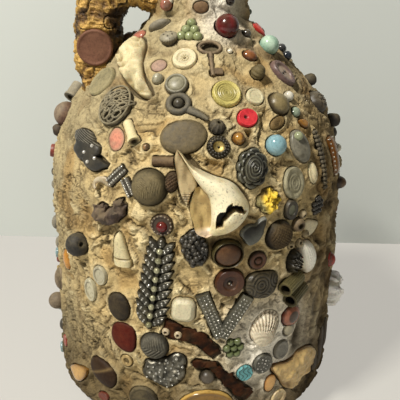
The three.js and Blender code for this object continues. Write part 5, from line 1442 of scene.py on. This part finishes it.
FILLER_TRIES, FILLER_KINDS, FILLER_GAP = 1200, "bbodfl", 2.2


def common(kind, width, length, height, k):
    """One of the common kinds: its outline is an oval or oblong, and its face the kind's own."""
    if kind == "b":
        return turned(ball(width / 2, 22), at=(0, 0, height - width / 2))
    domes = crown(height), rimmed(height, 0.66, 0.6), petalled(height, 6, 0.7), lined(height, 1.5, 0.25)
    face, power, rings, spokes = {
        "d": (domes[k % len(domes)], 2, 18, 52), "f": (dished(height, 0.7, 0.8), 2, 18, 52),
        "o": (crown(height, 0.6, 2.4), 2, 18, 52), "l": (crown(height, 1.2, 4), 4, 18, 52),
        "s": (fan(height, width, length, 12, -length / 2), 2.4, 26, 66)}[kind]
    return pressed(oblong(width, length, power), face, rings, spokes)


def back_piece(name, kind, size, k, turn, height, spin):
    """A common trinket in the colour and finish that its number gives."""
    hue, material = BACK_HUES[k % len(BACK_HUES)]
    form = common(kind, *size, k)
    patch = step(clouds(form[0], 3, k), 0.6, 0.95)
    # Darker towards the edge, painted shade, and in patches drawn at random.
    shade = np.maximum(step(form[2], 0.8, 1.0) * 0.6, patch) * (kind != "b")
    press(name, [part(form, mixed(paint(hue), paint(hue) * 0.5, shade), material)], turn, height, spin)


coat_low, coat_high = run_at(COAT_FOOT), run_at(COAT_TOP)
for k, row in enumerate(BACK_ROWS):
    for j, kind in enumerate(row):
        if kind != ".":
            turn = BACK_START + BACK_SPAN * (j + 0.5) / len(row) + 2 * np.sin(5 * k + 3 * j)
            rise = (6 + 10 * k + 0.8 * np.cos(4 * k + 2 * j)) / 100
            height = np.interp(coat_low + rise * (coat_high - coat_low), coat_run, coat_line[:, 1])
            back_piece(
                f"back_{kind}_{k}_{j}", kind, BACK_SIZES[kind], 5 * k + 3 * j, turn, height, 40 * j + 25 * k)

draw = np.random.default_rng(11)
taken = [
    (np.degrees(turn), np.interp(run, coat_run, coat_line[:, 1]), reach.max()) for turn, run, reach in beds]
filler_count = 0
for _ in range(FILLER_TRIES):
    turn, height = draw.uniform(86, 280), draw.uniform(12, 268)
    size, spin = draw.uniform(2.4, 5.2), draw.uniform(0, 180)
    radius = np.interp(height, coat_line[:, 1], coat_line[:, 0])
    far = [
        np.hypot(np.radians((turn - t + 180) % 360 - 180) * radius, height - h) - reach - size
        for t, h, reach in taken]
    by_handle = radius < 38 and turn > 212
    if min(far) > FILLER_GAP and not by_handle:
        taken.append((turn, height, size))
        kind = FILLER_KINDS[filler_count % len(FILLER_KINDS)]
        width = 1.3 * size if kind in "bl" else 2 * size
        length = 2.4 * size if kind == "l" else width
        size = width, length, 0.6 * size + 0.8
        back_piece(f"back_chip_{filler_count}", kind, size, filler_count, turn, height, spin)
        filler_count += 1

# Handle crust: putty pressed by hand round the strap in thick lumps, then painted with bronze powder.
# The underside towards the finger gap is painted almost black as shade, the low places and cracks are
# painted darker as shade, and the high knobs lighter gold as a painted highlight. Behind the mauve chip
# it is pressed flat.
CRUST_GOLD, CRUST_BRONZE, CRUST_DARK, CRUST_GAP = "c09a50", "6f4d20", "2c1d0e", "1f150b"
CRUST_WIDTH, CRUST_THICKNESS = 34, 28
CRUST_STEPS, CRUST_SIDES = 320, 190
crust_path = bezier(HANDLE_ENDS, CRUST_STEPS)
crust, *crust_rest = swept(crust_path, CRUST_THICKNESS, CRUST_WIDTH, CRUST_SIDES, up=(0, 1, 0), square=3.2)
core = np.concatenate([np.repeat(crust_path, CRUST_SIDES, 0), crust_path[[0, -1]]])
way_out = crust - core
way_out /= np.linalg.norm(way_out, axis=1, keepdims=True) + 1e-9
knobs = clouds(crust, 11, 21) * 0.6 + clouds(crust, 5, 22) * 0.3 + clouds(crust, 2.2, 23) * 0.16
cracks = step(0.1 - np.abs(clouds(crust, 8, 24) - 0.5), 0.05, 0.1)
crinkle = sum(share * ridges(crust, size, seed) ** 3 for share, size, seed in (
    (1.0, 6.5, 25), (0.8, 3.0, 26), (0.5, 1.6, 27)))
push = (knobs - 0.55) * 6.0 + 1.4 * crinkle - cracks * 1.6 - 0.6
near_chip = np.hypot(crust[:, 0] - chip_point[0], crust[:, 2] - chip_point[2])
behind_chip = step(-near_chip, -13.5, -10.5) * (crust[:, 1] < -8)
push = push * (1 - behind_chip) - 0.4 * behind_chip
facing_gap = step(way_out @ np.array([0.8, 0, -0.6]), 0.1, 0.8)
# Lighter gold on the high knobs, a painted highlight; darker in the low places and cracks and near black on the
# side facing the gap, painted shade.
crust_hue = mixed(CRUST_BRONZE, CRUST_GOLD, step(knobs + 0.16 * crinkle, 0.5, 0.82))
crust_hue = mixed(crust_hue, CRUST_DARK, np.maximum(step(0.5 - knobs, 0.0, 0.16), cracks) * 0.85)
crust_hue = mixed(crust_hue, CRUST_GAP, facing_gap * 0.7)
bronzed = finish("bronzed_putty", 0.5, 640, 0.5, 0.1, 0.0009, {"Metallic": 0.25})
crust_form = (crust + way_out * push[:, None], *crust_rest)
piece("handle_coat", [part(crust_form, crust_hue, bronzed, 1 - 0.5 * cracks)], sharp=180)

# Putty coat: cream linseed putty spread thick over the pot by hand, cracked, flaked and torn into
# sheets as it dried. It stands up in a rim round every trinket, is dusty grey on the shoulder and
# left, and is patched with white plaster at the lower right and on the neck. Light and shade are
# painted into its colour too: paler where it stands out, darker down the right side, and near black
# in cracks, creases and low places, under flaps, at the foot of each sheet, round every trinket,
# under the whelk and in a hollow at the right.
PUTTY_CREAM, PUTTY_HIGHLIGHT, PUTTY_DEEP_SHADE = "cbb380", "f0dfb0", "2e200c"
PUTTY_GREY, PUTTY_PLASTER, PUTTY_STAIN = "9c9070", "f6f0e0", "9c7638"
PUTTY_BROWN, PUTTY_FOOT, PUTTY_SHADE = "5a4022", "3f3018", "2e2214"
PUTTY_BANDS = (("foot", COAT_FOOT, 76), ("wall", 76, 150), ("shoulder", 150, 205), ("neck", 205, COAT_TOP))
PUTTY_COLUMNS, PUTTY_ROWS, PUTTY_BACK = 560, 150, -7.6
SHEET_THICKNESS, MOST_RELIEF, BED_DEEP = 1.4, 4.5, 1.7
MARK_TURN, MARK_HEIGHT, MARK_RADIUS = 12.8, 95.5, 4.4
putty = finish("putty", 0.85, 620, 0.3, 0.1, 0.0009, {"Specular IOR Level": 0.25})


def flakes(points, size, seed):
    """Cells round one drawn point in each box of a cubic grid: how much nearer the nearest point is
    than the next, which is 0 on the crack between two cells, and a number drawn for the cell."""
    cell = points / size
    low = np.floor(cell).astype(np.int64)
    shape = low.shape[:-1]
    nearest, second, tone = np.full(shape, 9.0), np.full(shape, 9.0), np.zeros(shape)
    for step_to in np.ndindex(3, 3, 3):
        box = low + np.array(step_to) - 1
        spot = box + np.stack([drawn(box, seed + k) for k in (0, 1, 2)], -1)
        far = np.linalg.norm(cell - spot, axis=-1)
        closer = far < nearest
        second = np.where(closer, nearest, np.minimum(second, far))
        tone = np.where(closer, (spot - box)[..., 0], tone)
        nearest = np.where(closer, far, nearest)
    return second - nearest, tone


def flaps(slant, edge, shade):
    """Overlapping flaps: the slant's fraction, which drops within the edge at its end, less its mean,
    and the shadow that lies at the foot of each."""
    along = slant % 1.0
    return along * step(1 - along, 0.0, edge) - 0.4, 1 - step(along, 0.0, shade)


def drift(points, size, seed):
    """Noise in three directions, about 0."""
    return np.stack([clouds(points, size, seed + k) - 0.5 for k in (0, 1, 2)], -1)


def bed_gap(turn, run, radius):
    """How far each point of the coat lies outside the nearest trinket's bed, or 30 when far off."""
    gap = np.full(turn.shape, 30.0)
    for bed_turn, bed_run, reach in beds:
        across = ((turn - bed_turn + np.pi) % (2 * np.pi) - np.pi) * radius
        along = run - bed_run
        far = np.hypot(across, along)
        close = far < reach.max() + 9
        if close.any():
            way = np.arctan2(along[close], across[close]) / (2 * np.pi) % 1 * BED_SPOKES
            edge = np.interp(way, np.arange(BED_SPOKES) + 0.5, reach, period=BED_SPOKES)
            gap[close] = np.minimum(gap[close], far[close] - edge)
    return gap


def putty_zones(angle, height, flat):
    """How far a point is on the left, with its dry plates, how far on the right, which is painted dark
    as shade and crossed by paler raised strands, and how rough it is: most at the front and beside the
    whelk, least on the shoulder."""
    left = band(-angle, 25, 60, 100, 150) * (1 - step(height, 190, 225))
    right = band(angle, 40, 56, 80, 104) * (1 - step(height, 165, 200))
    front = bell(angle, -16, 36) * band(height, 30, 80, 188, 222)
    beside_whelk = bell(angle, 27, 15) * band(height, 100, 120, 185, 205)
    worn = step(clouds(flat, 40, 42), 0.35, 0.6)
    rough = 0.42 + 0.6 * front + 0.2 * left + 0.35 * beside_whelk + 0.3 * worn - 0.3 * step(height, 195, 230)
    return left, right, np.clip(rough, 0.22, 1.1)


def putty_surface(turn, run):
    """The coat's relief, how deep in painted shade each point lies, and its colour. Lumps, two sets of
    flaps, folds, flakes, dry plates and grit add up and are torn into level sheets. Round a trinket
    they turn to a low rim, and under it to a bed. One ring is the print of a lost button. The painted
    shade lies in cracks, creases and low places, under flaps, at the foot of each sheet, round every
    trinket, under the whelk and in a hollow at the right."""
    flat = on_coat(turn, run, 0.0)
    angle, height, radius = np.degrees(turn), flat[..., 2], radius_at(run)
    gap = bed_gap(turn, run, radius)
    left, right, rough = putty_zones(angle, height, flat)
    bent = flat + 8 * drift(flat, 17, 31) + 2.4 * drift(flat, 4.5, 61)

    upward, aside = bent[..., 2], turn * radius
    flap, under_flap = flaps(
        upward * 0.07 + aside * 0.035 + 1.9 * clouds(bent, 20, 38) + 0.35 * clouds(bent, 7, 39), 0.07, 0.11)
    peel, under_peel = flaps(
        0.1 * aside - 0.05 * upward + 1.6 * clouds(bent, 15, 40) + 0.4 * clouds(bent, 5, 41), 0.1, 0.12)
    torn = step(clouds(flat, 16, 37), 0.35, 0.6) * (1 - 0.6 * left)
    peeled = step(clouds(flat, 18, 53), 0.5, 0.66) * (1 - 0.6 * left)
    fold, wrinkle = (np.abs(clouds(bent, size, seed) - 0.5) for size, seed in ((8, 50), (3.4, 51)))
    crumple = (3.0 * fold + 1.1 * wrinkle) * (1 - 0.5 * left)
    crease = step(0.12 - fold, 0.04, 0.12) * rough
    grit = (clouds(flat, 1.7, 43) - 0.5) * 0.5 + (clouds(flat, 0.9, 44) - 0.5) * 0.4
    chip_gap, chip_tone = flakes(bent, 4.6, 70)
    chipped = step(clouds(flat, 13, 36), 0.5, 0.68) * rough
    split = (1 - step(chip_gap, 0.02, 0.14)) * chipped * 0.6
    plates = left * (1 - step(height, 125, 165))
    plate_gap, plate_tone = np.ones(turn.shape), np.zeros(turn.shape)
    there = plates > 0
    plate_gap[there], plate_tone[there] = flakes((0.4 * flat + 0.6 * bent)[there], 8.5, 76)
    between = plates * (1 - step(plate_gap, 0.02, 0.13))
    wild = (clouds(flat, 34, 34) - 0.5) * 3.4 + (clouds(bent, 13, 35) - 0.5) * 2.4
    wild = wild + rough * (3.8 * torn * flap + crumple - 0.6) + rough * 2.0 * peeled * peel
    wild = wild + 1.3 * (chip_tone - 0.5) * chipped - 0.8 * split + grit
    wild = wild + plates * 1.8 * (plate_tone - 0.45) - 0.5 * between

    level, firm = wild / SHEET_THICKNESS, np.clip(rough, 0, 1)
    sheet = SHEET_THICKNESS * (np.floor(level) + step(level % 1.0, 0.68, 1.0))
    # Each sheet's foot gets a line of painted shade.
    sheet_foot_shade = bell(level % 1.0, 0.7, 0.07) * firm
    strands = clouds(bent * (1, 1, 0.5), 6, 54) + 0.4 * clouds(flat * (1, 1, 0.5), 2.4, 55)
    strands = step(strands, 0.5, 0.9)
    wild = wild + 0.7 * firm * (sheet - wild) + right * (2.4 * strands - 1.6)
    rim = 0.3 + 1.3 * clouds(flat, 8, 45) + 0.3 * crumple + grit
    near = 1 - step(gap, 0.6, 4.6)
    out = np.clip(wild * (1 - near) + rim * near, -MOST_RELIEF, MOST_RELIEF)
    out = out - step(-gap, -0.7, 0.6) * (out + BED_DEEP)
    mark = np.hypot((turn - np.radians(MARK_TURN)) * radius, run - run_at(MARK_HEIGHT))
    out = out - 2.2 * bell(mark, MARK_RADIUS, 0.8)
    # A dent under the whelk and a hollow at the right, both painted near black below as shade.
    under_whelk = bell(angle, 10, 9) * bell(height, 133.8, 3.4)
    hollow = bell(angle - 0.07 * (height - 58), 43.6, 2.6) * bell(height, 60, 15) * step(gap, 0.4, 2.4)
    out = (out - 2.6 * under_whelk - 2.4 * hollow) * (0.4 + 0.6 * step(height, 3, 14))

    # Painted shade: in cracks and creases, under each flap, at the foot of each sheet, in low places, in a line
    # round every trinket, under the whelk and in the hollow at the right.
    shadow = np.maximum(under_flap * torn, under_peel * peeled * 0.8) * rough
    deep = split + 0.3 * between + 0.2 * crease + shadow + 0.5 * sheet_foot_shade + step(-out, 1.4, 4.0) * 0.4
    deep = np.clip(deep, 0, 1) * (1 - 0.75 * near) + 0.85 * step(-gap, -1.1, 0.1)
    deep = np.maximum(deep, 1.1 * np.maximum(under_whelk, hollow))
    dust = step(height, 170, 215) * (0.55 + 0.3 * band(-angle, 15, 50, 100, 150))
    dust = dust + band(-angle, 30, 62, 100, 150) * 0.5 + (clouds(flat, 22, 46) - 0.55) * 0.9
    plaster = bell(angle, 29, 17) * bell(height, 66, 30) + 0.8 * bell(angle, 24, 26) * step(height, 232, 250)
    # Paler where the putty stands out: painted light.
    hue = mixed(PUTTY_CREAM, PUTTY_HIGHLIGHT, step(out, 0.2, 2.6) * 0.9)
    hue = hue * (0.92 + 0.2 * (chip_tone - 0.5) * chipped + 0.36 * (clouds(flat, 2.6, 52) - 0.5))[..., None]
    # Painted shade down the right side: the brown band by angle and the darker PUTTY_SHADE, broken by the paler
    # strands. The brown spots drawn from noise are stains.
    for stain, share in (
            (PUTTY_GREY, np.clip(dust, 0, 0.8)),
            (PUTTY_GREY, plates * plate_tone * 0.5),
            (PUTTY_STAIN, step(clouds(bent, 13, 48), 0.56, 0.82) * 0.5),
            (PUTTY_BROWN, step(clouds(bent, 9, 49), 0.64, 0.84) * 0.35 + 0.4 * band(angle, 36, 66, 84, 120)),
            (PUTTY_FOOT, 0.8 * (1 - step(height, 14, 84))),
            (PUTTY_SHADE, right * (0.75 - 0.55 * strands)),
            (PUTTY_PLASTER, plaster * (0.7 + 0.8 * clouds(flat, 12, 47))),
            (PUTTY_DEEP_SHADE, deep * 0.85)):
        hue = mixed(hue, stain, share)
    return out, deep, hue


for label, low, high in PUTTY_BANDS:
    # Columns run round the pot, closer together at the front, and rows up it. Every eighth row comes
    # back down along the inside, on the pot.
    even = np.linspace(-np.pi, np.pi, PUTTY_COLUMNS, endpoint=False)
    turn, run = np.meshgrid(even - 0.42 * np.sin(even), np.linspace(run_at(low), run_at(high), PUTTY_ROWS))
    out, deep, hue = putty_surface(turn, run)
    inner = on_coat(turn[::-8], run[::-8], PUTTY_BACK)
    form = skinned(np.concatenate([on_coat(turn, run, out), inner]), 0.0, 0.0, joined=True)
    hidden = inner.size // 3
    hue = np.concatenate([hue.reshape(-1, 3), np.broadcast_to(paint(PUTTY_CREAM), (hidden, 3))])
    # The painted shade also lowers raised, so the wear group darkens it further.
    raised = np.append(1 - 0.6 * np.clip(deep, 0, 1).ravel(), np.ones(hidden))
    piece("putty_" + label, [part(form, hue, putty, raised)], "putty_coat", "putty_coat", sharp=180)

# The stage: a pale table that keeps the jug's shadow, a plain wall that shows only from the front, a
# soft lamp high at the left, a faint fill, and a camera level with the mouth that looks down.
STAGE_REACH, WALL_BACK = 3, 0.222
TABLE_HUE, TABLE_GLOW, GLOW_SHARE, WALL_HUE = "dcdad2", "d2cec5", 0.72, "c6cbc8"
LAMP_TINT, ROOM_TINT, ROOM_LIGHT = (1.0, 0.96, 0.88), (1.0, 0.98, 0.94, 1), 0.125
CAMERA_PLACE, CAMERA_DOWN, CAMERA_ROLL = (0.0028, -0.462, 0.294), 20, 1.2


def plate(name, corners, hue, rough):
    """A flat plate of one face."""
    mesh = bpy.data.meshes.new(name)
    mesh.from_pydata(np.array(corners, float).tolist(), [], [(0, 1, 2, 3)])
    made = bpy.data.objects.new(name, mesh)
    bpy.context.scene.collection.objects.link(made)
    material = bpy.data.materials.new(name)
    material.use_nodes = True
    tree = material.node_tree
    surface = tree.nodes["Principled BSDF"]
    spot = add_node(tree, "ShaderNodeTexCoord").outputs["Object"]
    cloud = add_node(tree, "ShaderNodeTexNoise", {"Vector": spot, "Scale": 6.0, "Detail": 4.0})
    tone = add_node(tree, "ShaderNodeMix", {
        "Factor": cloud.outputs["Fac"], "A": (*paint(hue), 1), "B": (*paint(hue) * 0.96, 1)}, data_type="RGBA")
    tree.links.new(tone.outputs["Result"], surface.inputs["Base Color"])
    surface.inputs["Roughness"].default_value = rough
    mesh.materials.append(material)
    return made, tree, surface.outputs[0]


def blended(tree, share, first, second):
    """Sends a mix of two shaders to the material's surface."""
    mix = add_node(tree, "ShaderNodeMixShader", {0: share, 1: first, 2: second}).outputs[0]
    tree.links.new(mix, tree.nodes["Material Output"].inputs["Surface"])


far, near = STAGE_REACH, -STAGE_REACH
table, tree, plain = plate(
    "table", ((near, near, 0), (far, near, 0), (far, far, 0), (near, far, 0)), TABLE_HUE, 0.7)
glow = add_node(tree, "ShaderNodeEmission", {"Color": (*paint(TABLE_GLOW), 1)}).outputs[0]
seen = add_node(tree, "ShaderNodeLightPath").outputs["Is Camera Ray"]
share = add_node(tree, "ShaderNodeMath", {0: seen, 1: GLOW_SHARE}, operation="MULTIPLY").outputs[0]
blended(tree, share, plain, glow)
wall, tree, plain = plate("wall", (
    (near, WALL_BACK, -0.01), (far, WALL_BACK, -0.01),
    (far, WALL_BACK, far), (near, WALL_BACK, far)), WALL_HUE, 0.9)
behind = add_node(tree, "ShaderNodeNewGeometry").outputs["Backfacing"]
blended(tree, behind, plain, add_node(tree, "ShaderNodeBsdfTransparent").outputs[0])
wall.visible_diffuse = False
wall.visible_shadow = False

for name, place, aim, watts, size in (
        ("key_lamp", (-0.66, -0.7, 1.4), (0, 0, 0.14), 36.0, 0.22),
        ("fill_lamp", (0.5, -1.1, 0.5), (0, 0, 0.15), 0.7, 0.8)):
    lamp = bpy.data.lights.new(name, "AREA")
    lamp.energy = watts
    lamp.size = size
    lamp.color = LAMP_TINT
    made = bpy.data.objects.new(name, lamp)
    bpy.context.scene.collection.objects.link(made)
    towards = np.array(aim) - np.array(place)
    level = np.hypot(towards[0], towards[1])
    made.location = place
    made.rotation_euler = (np.arctan2(level, -towards[2]), 0, np.arctan2(-towards[0], towards[1]))

world = bpy.data.worlds.new("room")
world.use_nodes = True
world.node_tree.nodes["Background"].inputs["Color"].default_value = ROOM_TINT
world.node_tree.nodes["Background"].inputs["Strength"].default_value = ROOM_LIGHT
bpy.context.scene.world = world

lens = bpy.data.cameras.new("camera")
lens.sensor_width = 36
lens.lens = 63
camera = bpy.data.objects.new("camera", lens)
bpy.context.scene.collection.objects.link(camera)
tilt = Matrix.Rotation(np.radians(90 - CAMERA_DOWN), 4, "X") @ Matrix.Rotation(np.radians(CAMERA_ROLL), 4, "Z")
camera.matrix_world = Matrix.Translation(CAMERA_PLACE) @ tilt
bpy.context.scene.camera = camera
bpy.context.scene.view_settings.view_transform = "Standard"
